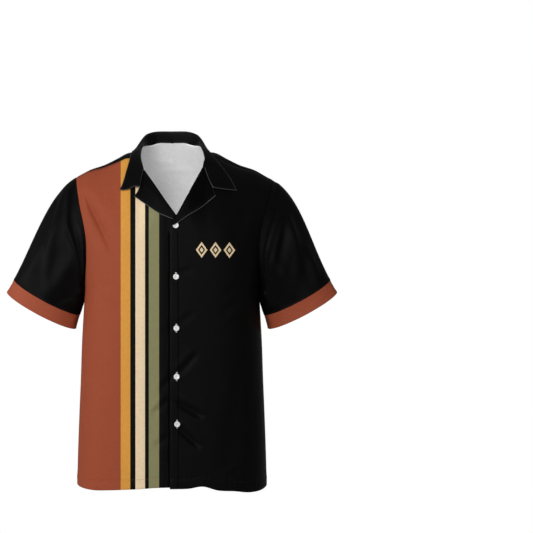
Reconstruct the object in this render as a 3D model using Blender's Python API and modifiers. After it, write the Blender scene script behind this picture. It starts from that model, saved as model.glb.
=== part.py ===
"""A short-sleeved bowling shirt with a camp collar, filled out as if worn, hollow inside.

Metres, +Z up. The wearer faces -Y, so the wearer's right is at -X. The origin is the centre of the
neck at the height of the shoulder-neck points, where a wearer's shoulders carry the shirt.

The body is one form with two coordinates: x across the shirt, and q down from the shoulder ridge,
whose square is the height below the ridge. q is negative on the front and positive on the back.
Every panel is a grid on that form, cut along its own edges, and given a wall by Solidify.
"""

import math

import bmesh
import bpy
import numpy as np
from mathutils import Vector

# ---------------------------------------------------------------- driving sizes
WALL = 0.0015          # cloth wall
SEAM = 0.0004          # gap between two pieces at a seam
NECK_SEAM = 0.0014     # gap between the neck edge and the collar, hidden under the leaf
CHEST_POWER = 2.6      # superellipse power of the body's plan
SHOULDER_POWER = 1.65  # how the cloth rolls over the shoulder
SHOULDER_DROP = 0.20   # height over which it rolls
RISE_REACH = 0.22      # q at which the back has risen to its full height near the neck
FORWARD_SEAM = 0.031   # the shoulder seam lies this far in front of the ridge at the neck
UNDERARM = -0.303      # height of the underarm point

PLACKET_EDGE = -0.0045     # x of the left front's edge, which lies on top
UNDERLAP_DEPTH = 0.0022    # how far the hidden part lies behind the outer front
UNDERLAP_START = -0.020    # x where the right front begins to sink
V_POINT = (0.0093, -0.1523)          # where the two roll lines meet
PLACKET_TOP = (-0.0045, -0.1770)     # where the left front's edge turns towards that point
PLACKET_BEND = (0.0012, -0.1590)
UNDERLAP_TOP = (0.0220, -0.1712)     # the right front's edge, hidden under the left's

CUFF_HALF_DEPTH = 0.047
CUFF_DROP = 0.011          # the cuff hangs lower at its front than at its back
COLLAR_BULGE = 0.018       # how far the collar rolls over before it falls
COLLAR_CLEAR = 0.0022      # least room under the leaf
STAND_END = 8              # section where the collar's stand ends and the gorge seam starts

BUTTON_RADIUS = 0.006
BUTTON_HEIGHT = 0.0024
BUTTON_SIDES = 20
BUTTON_LIFT = 0.0003
BUTTONS = [(0.0078, -0.1690), (0.0083, -0.2749), (0.0090, -0.3811), (0.0098, -0.4810), (0.0105, -0.5788)]

# cells of each panel's grid
CELLS_BELOW_ARM = 12
FRONT_COLUMNS = 12
NECK_COLUMNS = 6       # of the back's, on each half: the ones that end at the neck
BACK_COLUMNS = NECK_COLUMNS + FRONT_COLUMNS
SLEEVE_ROWS = 9
SLEEVE_BAND_ROWS = 2
SEAM_ROW = 0.14        # share of the last cell that a narrow row beside the shoulder seam takes
LEAF_ROWS = 5
STAND_ROWS = 3
LAPEL_ROWS = 5
LAPEL_COLUMNS = 9
# how the 16 cells of an armhole are shared out: up to the placket's corner, the V, the gorge and the seam
CORNER_CELLS, V_CELLS, GORGE_CELLS, NECK_CELLS = 5, 2, 5, 4


def table(names, rows):
    """A table whose columns are named, as a dict of arrays."""
    return dict(zip(names.split(), np.array(rows, float).T))


# The shoulder ridge as it shows from the front, and how far the back rises behind it near the neck.
RIDGE = table("out height rise", [
    (0.000, 0.0500, 0.043),
    (0.018, 0.0475, 0.043),
    (0.033, 0.0400, 0.043),
    (0.052, 0.0145, 0.044),
    (0.068, -0.0010, 0.042),
    (0.082, -0.0022, 0.030),
    (0.095, -0.0045, 0.017),
    (0.117, -0.0160, 0.004),
    (0.143, -0.0290, 0.0),
    (0.181, -0.0425, 0.0),
    (0.207, -0.0570, 0.0),
    (0.222, -0.0650, 0.0),
    (0.260, -0.0850, 0.0),
])

# Half width and depths of the body.
BODY = table("height half front back", [
    (-0.740, 0.2040, 0.1360, 0.120),
    (-0.680, 0.2030, 0.1355, 0.119),
    (-0.560, 0.1990, 0.1340, 0.117),
    (-0.500, 0.1965, 0.1340, 0.117),
    (-0.400, 0.1930, 0.1350, 0.119),
    (-0.340, 0.1895, 0.1360, 0.122),
    (-0.303, 0.1875, 0.1360, 0.123),
    (-0.200, 0.1870, 0.1350, 0.125),
    (-0.100, 0.1870, 0.1310, 0.123),
    (0.060, 0.1870, 0.1270, 0.120),
])

# The armhole from the underarm to the shoulder tip. A reach is the share of the body's depth that
# the edge stands at, in front of or behind the side line.
ARMHOLE = table("height right left front back", [
    (-0.303, 0.1875, 0.1875, 0.00, 0.00),
    (-0.292, 0.1865, 0.1868, 0.20, 0.23),
    (-0.268, 0.1845, 0.1855, 0.35, 0.40),
    (-0.232, 0.1825, 0.1840, 0.47, 0.52),
    (-0.192, 0.1830, 0.1855, 0.55, 0.58),
    (-0.158, 0.1885, 0.1920, 0.60, 0.61),
    (-0.127, 0.1955, 0.2005, 0.64, 0.64),
    (-0.0815, 0.2035, 0.2125, 0.66, 0.66),
    (-0.057, 0.2070, 0.2190, 0.66, 0.66),
])

# Height of the hem by x: the right front, the left front and the back.
HEM = table("out right left back", [
    (0.000, -0.7105, -0.7135, -0.7230),
    (0.035, -0.7110, -0.7125, -0.7230),
    (0.063, -0.7135, -0.7085, -0.7225),
    (0.095, -0.7155, -0.7170, -0.7215),
    (0.130, -0.7180, -0.7200, -0.7200),
    (0.165, -0.7200, -0.7245, -0.7185),
    (0.190, -0.7185, -0.7225, -0.7175),
    (0.205, -0.7160, -0.7180, -0.7165),
])

# The collar's sections from the centre back (0) over the shoulder (5) to the gorge (8) and the notch
# (10): the neck seam in plan, the roll line, and the leaf's edge.
COLLAR_RIGHT = table("section neck_out neck_back roll_out roll_back roll_up edge_out edge_back edge_up", [
    (0, 0.0000, 0.0780, 0.0000, 0.0780, 0.0515, 0.0000, 0.0895, 0.0125),
    (1, 0.0330, 0.0720, 0.0330, 0.0730, 0.0505, 0.0360, 0.0850, 0.0125),
    (2, 0.0520, 0.0570, 0.0520, 0.0570, 0.0440, 0.0600, 0.0720, 0.0110),
    (3, 0.0620, 0.0380, 0.0600, 0.0380, 0.0340, 0.0765, 0.0460, 0.0070),
    (4, 0.0665, 0.0160, 0.0640, 0.0160, 0.0205, 0.0835, 0.0160, 0.0010),
    (5, 0.0680, -0.0080, 0.0655, -0.0070, 0.0085, 0.0855, -0.0120, -0.0045),
    (6, 0.0685, -0.0300, 0.0675, -0.0340, -0.0045, 0.0875, -0.0325, -0.0105),
    (7, 0.0675, -0.0520, 0.0671, -0.0580, -0.0235, 0.0915, -0.0555, -0.0315),
    (8, 0.0615, -0.0725, 0.0612, -0.0785, -0.0490, 0.0980, -0.0745, -0.0575),
    (9, 0.0615, -0.0725, 0.0640, -0.0945, -0.0685, 0.1035, -0.0860, -0.0795),
    (10, 0.0615, -0.0725, 0.0670, -0.1035, -0.0875, 0.1090, -0.0905, -0.0915),
])
COLLAR_LEFT = table("section neck_out neck_back roll_out roll_back roll_up edge_out edge_back edge_up", [
    (0, 0.0000, 0.0780, 0.0000, 0.0780, 0.0515, 0.0000, 0.0895, 0.0125),
    (1, 0.0330, 0.0720, 0.0330, 0.0730, 0.0505, 0.0360, 0.0850, 0.0125),
    (2, 0.0520, 0.0570, 0.0520, 0.0570, 0.0430, 0.0600, 0.0720, 0.0110),
    (3, 0.0620, 0.0380, 0.0595, 0.0380, 0.0330, 0.0755, 0.0460, 0.0070),
    (4, 0.0665, 0.0160, 0.0630, 0.0160, 0.0200, 0.0795, 0.0160, 0.0015),
    (5, 0.0680, -0.0080, 0.0640, -0.0070, 0.0095, 0.0790, -0.0110, -0.0010),
    (6, 0.0695, -0.0300, 0.0680, -0.0330, -0.0030, 0.0860, -0.0335, -0.0125),
    (7, 0.0710, -0.0500, 0.0712, -0.0570, -0.0215, 0.0965, -0.0495, -0.0290),
    (8, 0.0685, -0.0660, 0.0682, -0.0735, -0.0410, 0.1080, -0.0575, -0.0440),
    (9, 0.0685, -0.0660, 0.0765, -0.0930, -0.0690, 0.1210, -0.0670, -0.0640),
    (10, 0.0685, -0.0660, 0.0850, -0.1030, -0.0885, 0.1352, -0.0786, -0.0937),
])

# A lapel's rulings from its roll line to its outer edge, from the gorge seam down to its tip.
LAPEL_RIGHT = table("step roll_x roll_z edge_x edge_z lift", [
    (0.00, -0.0592, -0.0510, -0.0652, -0.0902, 0.0036),
    (0.25, -0.0480, -0.0690, -0.0760, -0.1060, 0.0030),
    (0.50, -0.0330, -0.0915, -0.0535, -0.1253, 0.0024),
    (0.75, -0.0165, -0.1160, -0.0272, -0.1439, 0.0018),
    (1.00, 0.0070, -0.1498, 0.0020, -0.1562, 0.0010),
])
LAPEL_LEFT = table("step roll_x roll_z edge_x edge_z lift", [
    (0.00, 0.0668, -0.0428, 0.0843, -0.0905, 0.0036),
    (0.20, 0.0555, -0.0650, 0.0902, -0.1071, 0.0032),
    (0.40, 0.0425, -0.0900, 0.0620, -0.1303, 0.0030),
    (0.60, 0.0270, -0.1190, 0.0341, -0.1479, 0.0032),
    (0.80, 0.0100, -0.1500, 0.0133, -0.1625, 0.0036),
    (1.00, -0.0015, -0.1625, 0.0027, -0.1690, 0.0036),
])

# The sleeve: the cuff's outer and inner corners, and the way the cloth leaves the armhole at the
# shoulder tip, at mid height and at the underarm, each with its speed.
CUFF_OUTER = (0.3560, -0.3030)
CUFF_INNER = (0.2070, -0.3830)
BAND_TOP_OUTER = (0.3405, -0.2755)
BAND_TOP_INNER = (0.1985, -0.3525)
SLEEVE_LEAVES = table("drop out down speed arrive", [
    (0.0, 0.88, 0.47, 0.200, 0.250),
    (0.5, 0.60, 0.80, 0.150, 0.170),
    (1.0, 0.28, 0.96, 0.045, 0.050),
])

# The largest folds, as troughs along a line on the fronts and the back (x, z, depth, half width).
FOLDS_FRONT = table("x0 z0 x1 z1 depth width", [
    (-0.190, -0.080, -0.125, -0.225, 0.0040, 0.022),
    (0.110, -0.700, 0.135, -0.540, 0.0035, 0.026),
    (-0.100, -0.690, -0.125, -0.520, 0.0030, 0.026),
])
FOLDS_BACK = table("x0 z0 x1 z1 depth width", [
    (-0.105, -0.670, -0.070, -0.520, 0.0040, 0.026),
    (0.060, -0.680, 0.100, -0.540, 0.0035, 0.026),
])
# The sleeve's long folds: round from the shoulder tip over the front (1 = all the way round).
FOLDS_SLEEVE = table("round start end depth width", [
    (0.13, 0.15, 0.95, 0.0050, 0.035),
    (0.27, 0.25, 1.00, 0.0045, 0.030),
    (0.40, 0.30, 0.90, 0.0035, 0.030),
    (0.68, 0.20, 0.95, 0.0045, 0.035),
    (0.84, 0.30, 1.00, 0.0040, 0.030),
])

COLOURS = {  # linear colour and roughness
    "front_right": ((0.292, 0.068, 0.032), 0.55),
    "front_left": ((0.008, 0.007, 0.008), 0.5),
    "back": ((0.008, 0.007, 0.008), 0.5),
    "sleeve": ((0.008, 0.007, 0.008), 0.5),
    "sleeve_band": ((0.292, 0.068, 0.032), 0.55),
    "collar": ((0.007, 0.006, 0.007), 0.45),
    "lapel": ((0.007, 0.006, 0.007), 0.45),
    "button": ((0.85, 0.85, 0.83), 0.35),
}


# ---------------------------------------------------------------- curves and the body form
def smooth(rows, x, y, at):
    """The column y of a table as a smooth curve over its column x."""
    xs, ys = rows[x], rows[y]
    step = np.diff(xs)
    slope = np.diff(ys) / step
    lean = np.empty_like(ys)
    lean[1:-1] = (slope[:-1] * step[1:] + slope[1:] * step[:-1]) / (step[:-1] + step[1:])
    lean[0], lean[-1] = slope[0], slope[-1]
    at = np.clip(at, xs[0], xs[-1])
    i = np.clip(np.searchsorted(xs, at, side="right") - 1, 0, len(xs) - 2)
    t = (at - xs[i]) / step[i]
    start = (1 + 2 * t) * (1 - t) ** 2 * ys[i] + t * (1 - t) ** 2 * step[i] * lean[i]
    return start + t * t * (3 - 2 * t) * ys[i + 1] + t * t * (t - 1) * step[i] * lean[i + 1]


def ease(t):
    """0 to 1 with level ends."""
    t = np.clip(t, 0, 1)
    return t * t * (3 - 2 * t)


def hermite(p0, t0, p1, t1, t):
    """A cubic from p0 to p1 that leaves along t0 and arrives along t1."""
    return ((1 + 2 * t) * (1 - t) ** 2 * p0 + t * (1 - t) ** 2 * t0
            + t * t * (3 - 2 * t) * p1 + t * t * (t - 1) * t1)


def roll(h):
    """Share of the full depth that the cloth reaches at h below the ridge."""
    return (1 - (1 - np.clip(h / SHOULDER_DROP, 0, 1)) ** SHOULDER_POWER) ** (1 / SHOULDER_POWER)


def roll_height(share):
    """The inverse of roll."""
    return SHOULDER_DROP * (1 - (1 - np.clip(share, 0, 1) ** SHOULDER_POWER) ** (1 / SHOULDER_POWER))


def half_width(x, z, face):
    """Half width of the plan at height z: the side seam's, or above it one that puts the armhole's
    edge at its reach."""
    out = np.where(x < 0, smooth(ARMHOLE, "height", "right", z), smooth(ARMHOLE, "height", "left", z))
    reach = np.clip(smooth(ARMHOLE, "height", face, z), 0, 0.9)
    above = out / (1 - reach ** CHEST_POWER) ** (1 / CHEST_POWER)
    return np.where(z < UNDERARM, smooth(BODY, "height", "half", z), above)


def plan(x, z, face):
    """How much of the depth is left at x, from 1 at the centre to 0 at the side."""
    share = np.clip(np.abs(x) / half_width(x, z, face), 0, 1)
    return (1 - share ** CHEST_POWER) ** (1 / CHEST_POWER)


def height_at(x, q):
    """Height of the form at x and q."""
    rise = smooth(RIDGE, "out", "rise", np.abs(x)) * ease(q / RISE_REACH) * (q > 0)
    return smooth(RIDGE, "out", "height", np.abs(x)) + rise - q * q


def troughs(folds, x, z):
    """Depth of all the folds at a place: each is a soft trough that fades out at both ends."""
    depth = np.zeros_like(x)
    for x0, z0, x1, z1, deep, width in zip(*folds.values()):
        run = np.array((x1 - x0, z1 - z0))
        length = np.hypot(*run)
        run /= length
        along = ((x - x0) * run[0] + (z - z0) * run[1]) / length
        across = ((x - x0) * -run[1] + (z - z0) * run[0]) / width
        depth += deep * ease(np.clip(4 * along * (1 - along), 0, 1)) * np.exp(-across ** 2)
    return depth


def form(x, q):
    """Points of the body form at x and q, as an array with a last axis of 3."""
    x, q = np.broadcast_arrays(np.asarray(x, float), np.asarray(q, float))
    z = height_at(x, q)
    front = -smooth(BODY, "height", "front", z) * roll(q * q) * plan(x, z, "front")
    back = smooth(BODY, "height", "back", z) * roll(q * q) * plan(x, z, "back")
    edge = ease(12 * (half_width(x, z, "front") - np.abs(x)) / 0.2)
    front = front + troughs(FOLDS_FRONT, x, z) * edge * (q < 0)
    back = back - troughs(FOLDS_BACK, x, z) * edge
    return np.stack([x, np.where(q < 0, front, back), z], -1)


def q_of_height(x, z):
    """q on the front at height z."""
    return -np.sqrt(np.clip(smooth(RIDGE, "out", "height", np.abs(x)) - z, 0, None))


def q_of_back_height(x, z):
    """q on the back at height z, well below the neck."""
    ridge = smooth(RIDGE, "out", "height", np.abs(x)) + smooth(RIDGE, "out", "rise", np.abs(x))
    return np.sqrt(np.clip(ridge - z, 0, None))


def q_of_depth(x, y):
    """q at the place whose plan is x and y, near the shoulder."""
    x, y = np.broadcast_arrays(np.asarray(x, float), np.asarray(y, float))
    q = np.zeros_like(x)
    for _ in range(6):
        z = height_at(x, q)
        deep = np.where(y < 0, smooth(BODY, "height", "front", z) * plan(x, z, "front"),
                        smooth(BODY, "height", "back", z) * plan(x, z, "back"))
        q = np.sign(y) * np.sqrt(roll_height(np.abs(y) / deep))
    return q


def outward(x, q, step=1e-4):
    """Unit normals of the form, pointing out."""
    across = form(x + step, q) - form(x - step, q)
    down = form(x, q + step) - form(x, q - step)
    normal = np.cross(across, down)
    return normal / np.linalg.norm(normal, axis=-1, keepdims=True)


def lifted(x, q, lift):
    """Points of the form moved out by lift."""
    return form(x, q) + outward(x, q) * np.asarray(lift)[..., None]


def clear_of_body(points, room):
    """Points moved out until they are at least room away from the form."""
    def field(p):
        x, y, z = np.moveaxis(p, -1, 0)
        face = np.where(y < 0, smooth(BODY, "height", "front", z) * plan(x, z, "front"),
                        smooth(BODY, "height", "back", z) * plan(x, z, "back"))
        share = np.abs(y) / np.maximum(face, 1e-4)
        q = np.sqrt(roll_height(share)) * (y > 0)
        rise = smooth(RIDGE, "out", "rise", np.abs(x)) * ease(q / RISE_REACH)
        h = smooth(RIDGE, "out", "height", np.abs(x)) + rise - z
        top = np.where(h < 0, 1 - h / SHOULDER_DROP, np.clip(1 - h / SHOULDER_DROP, 0, None))
        return top ** SHOULDER_POWER + share ** SHOULDER_POWER - 1

    points = points.copy()
    step = 2e-4
    for _ in range(4):
        value = field(points)
        slope = np.stack([field(points + step * axis) - field(points - step * axis) for axis in np.eye(3)], -1)
        slope /= 2 * step
        steep = np.linalg.norm(slope, axis=-1)
        short = np.clip(room - value / steep, 0, None)
        points += slope / steep[..., None] * short[..., None]
    return points


# ---------------------------------------------------------------- grids and objects
def evenly(x_start, x_end, q_start, q_end, cells):
    """Shares of the way from one edge to the other that put a row's points evenly along the cloth."""
    fine = np.linspace(0, 1, 241)
    shares = np.empty((len(x_start), cells + 1))
    for j in range(len(x_start)):
        row = form(x_start[j] + (x_end[j] - x_start[j]) * fine, q_start[j] + (q_end[j] - q_start[j]) * fine)
        run = np.concatenate([[0], np.cumsum(np.linalg.norm(np.diff(row, axis=0), axis=1))])
        shares[j] = np.interp(np.linspace(0, run[-1], cells + 1), run, fine)
    return shares


def grid_mesh(name, grids, flip=False, closed=False):
    """A mesh of one or more grids of points that share the points where they meet. Each cell is split
    along its shorter diagonal. With closed, the last column joins the first."""
    bm = bmesh.new()
    for grid in grids:
        rows, columns = grid.shape[:2]
        verts = [[bm.verts.new(grid[i, j]) for j in range(columns)] for i in range(rows)]
        for i in range(rows - 1):
            for j in range(columns if closed else columns - 1):
                k = (j + 1) % columns
                a, b, c, d = verts[i][j], verts[i][k], verts[i + 1][k], verts[i + 1][j]
                if (a.co - c.co).length > (b.co - d.co).length:
                    a, b, c, d = b, c, d, a
                for corners in ((a, b, c), (a, c, d)):
                    bm.faces.new(corners[::-1] if flip else corners)
    bmesh.ops.remove_doubles(bm, verts=bm.verts, dist=1e-6)
    mesh = bpy.data.meshes.new(name)
    bm.to_mesh(mesh)
    bm.free()
    return mesh


def material(kind):
    """The Principled material of a kind of piece."""
    found = bpy.data.materials.get(kind)
    if found:
        return found
    colour, rough = COLOURS[kind]
    made = bpy.data.materials.new(kind)
    made.use_nodes = True
    shader = made.node_tree.nodes["Principled BSDF"]
    shader.inputs["Base Color"].default_value = (*colour, 1)
    shader.inputs["Roughness"].default_value = rough
    return made


def add(name, mesh, kind, collection):
    """An object of the shirt, shaded smooth but for its sharp edges."""
    mesh.shade_smooth()
    mesh.set_sharp_from_angle(angle=math.radians(40))
    mesh.materials.append(material(kind))
    piece = bpy.data.objects.new(name, mesh)
    collection.objects.link(piece)
    return piece


def cloth(name, mesh, kind, collection, offset=-1.0, wall=WALL):
    """A sheet of cloth: the surface with a wall, inwards with offset -1 and outwards with +1."""
    piece = add(name, mesh, kind, collection)
    solid = piece.modifiers.new("wall", "SOLIDIFY")
    solid.thickness = wall
    solid.offset = offset
    return piece


# ---------------------------------------------------------------- the body's panels
def armhole_rows():
    """Heights of an armhole's points from the underarm to the tip, evenly along its curve."""
    t = np.linspace(0, 1, 400)
    z = ARMHOLE["height"][0] + (ARMHOLE["height"][-1] - ARMHOLE["height"][0]) * t
    y = smooth(ARMHOLE, "height", "front", z) * roll(-0.045 - z) * BODY["front"][7]
    run = np.concatenate([[0], np.cumsum(np.hypot(np.diff(y), np.diff(z)))])
    cells = CORNER_CELLS + V_CELLS + GORGE_CELLS + NECK_CELLS
    return np.interp(np.linspace(0, run[-1], cells + 1), run, z)


def with_seam_row(values):
    """A column of values with a narrow row added just before its last."""
    return np.insert(values, -1, values[-1] + (values[-2] - values[-1]) * SEAM_ROW)


def outer_edge(side, face):
    """x and q of a panel's side seam and armhole, from the hem up."""
    column = "right" if side < 0 else "left"
    hem = smooth(HEM, "out", "back" if face == "back" else column, np.array(0.204))
    z = np.concatenate([np.linspace(hem, UNDERARM, CELLS_BELOW_ARM, endpoint=False), armhole_rows()])
    below = smooth(BODY, "height", "half", z)
    x = side * np.where(z < UNDERARM, below, smooth(ARMHOLE, "height", column, z))
    if face == "front":
        q = q_of_height(x, z)
    else:
        q = np.where(z > -0.12, -q_of_height(x, z), q_of_back_height(x, z))
    return with_seam_row(x), with_seam_row(q)


def collar_rows(side):
    return COLLAR_RIGHT if side < 0 else COLLAR_LEFT


def neck_edge(side, sections):
    """x and y in plan of the neck seam at the collar's sections."""
    rows = collar_rows(side)
    return side * smooth(rows, "section", "neck_out", sections), smooth(rows, "section", "neck_back", sections)


SEAM_SECTION = 6       # the collar's section at the forward shoulder seam


def front_inner_edge(side):
    """x and q of a front's placket edge, roll line and neck seam, from the hem up."""
    hem = smooth(HEM, "out", "right" if side < 0 else "left", np.array(0.0))
    top = UNDERLAP_TOP if side < 0 else PLACKET_TOP
    bend = ((UNDERLAP_TOP[0] + V_POINT[0]) / 2, (UNDERLAP_TOP[1] + V_POINT[1]) / 2) if side < 0 else PLACKET_BEND
    gorge_x, gorge_y = neck_edge(side, np.array(float(STAND_END)))
    gorge = form(gorge_x, q_of_depth(gorge_x, gorge_y))
    x = [np.full(CELLS_BELOW_ARM, top[0]), np.full(CORNER_CELLS, top[0]), (top[0], bend[0])]
    z = [np.linspace(hem, UNDERARM, CELLS_BELOW_ARM, endpoint=False),
         np.linspace(UNDERARM, top[1], CORNER_CELLS, endpoint=False), (top[1], bend[1])]
    up = np.linspace(0, 1, GORGE_CELLS, endpoint=False)
    x.append(V_POINT[0] + (gorge[0] - V_POINT[0]) * up)
    z.append(V_POINT[1] + (gorge[2] - V_POINT[1]) * up)
    x, z = np.concatenate(x), np.concatenate(z)
    q = q_of_height(x, z)
    neck_x, neck_y = neck_edge(side, np.linspace(STAND_END, SEAM_SECTION, NECK_CELLS + 1))
    q = np.concatenate([q, q_of_depth(neck_x, neck_y)])
    return with_seam_row(np.concatenate([x, neck_x])), with_seam_row(q)


def shoulder_seam(side, start, end):
    """x and q along the forward shoulder seam between two x, which nears the ridge towards the tip."""
    shares = np.linspace(0, 1, FRONT_COLUMNS + 1)
    x = start + (end - start) * shares
    ahead = FORWARD_SEAM * (1 - shares ** 2) ** 2.3
    return x, q_of_depth(x, -np.maximum(ahead, 1e-7)) * (ahead > 1e-6)


def front_panel(side):
    """Points of a front, rows from the hem to the shoulder seam, columns from the centre to the side."""
    x_in, q_in = front_inner_edge(side)
    x_out, q_out = outer_edge(side, "front")
    shares = evenly(x_in, x_out, q_in, q_out, FRONT_COLUMNS)
    x = x_in[:, None] + (x_out - x_in)[:, None] * shares
    q = q_in[:, None] + (q_out - q_in)[:, None] * shares
    level = with_seam_row(np.linspace(0, 1, len(x) - 1))[:, None]
    column = "right" if side < 0 else "left"
    hem = q_of_height(x[0], smooth(HEM, "out", column, np.abs(x[0])))
    seam_x, seam = shoulder_seam(side, x_in[-1], x_out[-1])
    x = x + (seam_x - x[-1]) * level ** 4
    q = q + (hem - q[0]) * (1 - level) ** 4 + (seam - q[-1]) * level ** 4
    points = form(x, q)
    if side < 0:
        sink = UNDERLAP_DEPTH * ease((points[..., 0] - UNDERLAP_START) / (PLACKET_EDGE - 0.003 - UNDERLAP_START))
        points[..., 1] += sink
    return points


def back_half(side):
    """x and q of half the back, rows from the hem up, columns from the centre to the side."""
    x_out, q_out = outer_edge(side, "back")
    neck_sections = np.linspace(0, SEAM_SECTION, NECK_COLUMNS + 1)
    neck_x, neck_y = neck_edge(side, neck_sections)
    neck_q = q_of_depth(neck_x, neck_y)
    hem = q_of_back_height(np.array(0.0), HEM["back"][0])
    rows = len(x_out)
    lower = with_seam_row(np.linspace(0, 1, rows - 1))
    q_in = hem + (neck_q[0] - hem) * lower ** 1.05
    x_in = np.zeros(rows)
    shares = evenly(x_in, x_out, q_in, q_out, BACK_COLUMNS)
    x = x_out[:, None] * shares
    q = q_in[:, None] + (q_out - q_in)[:, None] * shares
    level = lower[:, None]
    hem_q = q_of_back_height(x[0], smooth(HEM, "out", "back", np.abs(x[0])))
    seam_x, seam_q = shoulder_seam(side, neck_x[-1], x_out[-1])
    top_x = np.concatenate([neck_x, seam_x[1:]])
    top_q = np.concatenate([neck_q, seam_q[1:]])
    x = x + (top_x - x[-1]) * level ** 3
    q = q + (hem_q - q[0]) * (1 - level) ** 4 + (top_q - q[-1]) * level ** 5
    return x, q


def back_panel():
    """Points of the back, columns from the right side to the left."""
    right, left = back_half(-1), back_half(1)
    x = np.concatenate([right[0][:, ::-1], left[0][:, 1:]], 1)
    q = np.concatenate([right[1][:, ::-1], left[1][:, 1:]], 1)
    return form(x, q)


def part_at_seams(front, back):
    """Opens the gap between a front and the back along the side seam and the shoulder seam."""
    seam_rows = CELLS_BELOW_ARM + 1
    front[:seam_rows, -1, 1] = -SEAM / 2
    back[:seam_rows, 1] = SEAM / 2
    front[-1, :, 1] -= SEAM


# ---------------------------------------------------------------- sleeves
def armhole_loop(side, front, back):
    """The armhole's points from the shoulder tip down the front and up the back, a seam's gap away."""
    down = front[CELLS_BELOW_ARM:, -1][::-1]
    up = back[CELLS_BELOW_ARM:][1:-1]
    loop = np.concatenate([down, up])
    return loop + np.array((side * SEAM, 0, 0))


def ellipse(side, outer, inner, round_shares, depth):
    """A cuff's loop between its outer and inner corner, lower at its front than at its back."""
    outer, inner = np.array((side * outer[0], 0, outer[1])), np.array((side * inner[0], 0, inner[1]))
    angle = 2 * np.pi * round_shares[:, None]
    axis = np.cross(outer - inner, (0, -side, 0))
    axis = axis / np.linalg.norm(axis)
    ahead = np.array((0, -1, 0)) * np.sin(angle)
    return ((outer + inner) / 2 + (outer - inner) / 2 * np.cos(angle)
            + ahead * depth + axis * CUFF_DROP * np.sin(angle)), axis


def round_shares(loop):
    """Share of the way round for each point of an armhole's loop: 0 at the tip, a half at the underarm."""
    closed = np.concatenate([loop, loop[:1]])
    run = np.concatenate([[0], np.cumsum(np.linalg.norm(np.diff(closed, axis=0), axis=1))])
    under = len(loop) // 2
    return np.interp(run[:-1], [0, run[under], run[-1]], [0, 0.5, 1])


def sleeve_points(side, loop):
    """A sleeve from its armhole to the top of its band, rows down the arm."""
    shares = round_shares(loop)
    end, axis = ellipse(side, BAND_TOP_OUTER, BAND_TOP_INNER, shares, CUFF_HALF_DEPTH * 1.03)
    drop = 1 - np.abs(1 - 2 * shares)
    way = {k: smooth(SLEEVE_LEAVES, "drop", k, drop)[:, None] for k in ("out", "down", "speed", "arrive")}
    leave = way["out"] * np.array((side, 0, 0)) + way["down"] * np.array((0, 0, -1))
    leave = leave / np.linalg.norm(leave, axis=1, keepdims=True) * way["speed"]
    arrive = axis * way["arrive"]
    rows = np.linspace(0, 1, SLEEVE_ROWS + 1)[:, None, None]
    points = hermite(loop, leave, end, arrive, rows)
    across = np.roll(points, -1, 1) - np.roll(points, 1, 1)
    along = np.gradient(points, axis=0)
    inward = np.cross(across, along) * side
    inward /= np.linalg.norm(inward, axis=-1, keepdims=True)
    depth = np.zeros(points.shape[:2])
    for at, start, stop, deep, width in zip(*FOLDS_SLEEVE.values()):
        run = np.clip((rows[..., 0] - start) / (stop - start), 0, 1)
        depth += deep * ease(4 * run * (1 - run)) * np.exp(-((shares - at) / width) ** 2)
    return points + inward * depth[..., None], end, axis


def band_points(side, end, axis, shares):
    """The band below a sleeve, a straight tube down to the cuff."""
    cuff, _ = ellipse(side, CUFF_OUTER, CUFF_INNER, shares, CUFF_HALF_DEPTH)
    start = end + axis * SEAM
    rows = np.linspace(0, 1, SLEEVE_BAND_ROWS + 1)[:, None, None]
    return start + (cuff - start) * rows


# ---------------------------------------------------------------- collar and lapels
def collar_side(side, sections):
    """One side of the collar: the stand's grid and the leaf's grid at the given sections."""
    rows = collar_rows(side)
    at = {k: smooth(rows, "section", k, sections) for k in rows}
    neck_q = q_of_depth(side * at["neck_out"], at["neck_back"])
    neck = form(side * at["neck_out"], neck_q)
    fold = np.stack([side * at["roll_out"], at["roll_back"], at["roll_up"]], -1)
    edge = np.stack([side * at["edge_out"], at["edge_back"], at["edge_up"]], -1)
    run = np.gradient(fold[:, :2], axis=0)
    away = np.stack([run[:, 1], -run[:, 0], np.zeros(len(run))], -1) * side * -1
    away /= np.linalg.norm(away, axis=1, keepdims=True)
    flat = ease((sections - 6.0) / 2.0)[:, None]
    leave = away * COLLAR_BULGE * (1 - flat) + (edge - fold) * flat
    fall = (edge - fold) * 0.9
    t = np.linspace(0, 1, LEAF_ROWS + 1)[:, None, None]
    leaf = hermite(fold, leave, edge, fall, t)
    leaf[1:] = clear_of_body(leaf[1:], COLLAR_CLEAR)
    up = fold - neck
    start = neck + up / np.linalg.norm(up, axis=1, keepdims=True) * NECK_SEAM
    t = np.linspace(0, 1, STAND_ROWS + 1)[:, None, None]
    stand = hermite(start, up * 1.0, fold, leave * np.clip(np.linalg.norm(up, axis=1) / 0.03, 0.2, 1)[:, None], t)
    return stand, leaf


def collar_grids():
    """The whole collar from its right notch round the neck to its left notch: the stand, which ends at
    the gorge, and the leaf."""
    sections = np.arange(0, 10.01, 0.5)
    standing = sections < STAND_END - 0.2
    right_stand, right_leaf = collar_side(-1, sections)
    left_stand, left_leaf = collar_side(1, sections)
    leaf = np.concatenate([right_leaf[:, ::-1], left_leaf[:, 1:]], 1)
    stand = np.concatenate([right_stand[:, standing][:, ::-1], left_stand[:, standing][:, 1:]], 1)
    return stand, leaf


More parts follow.
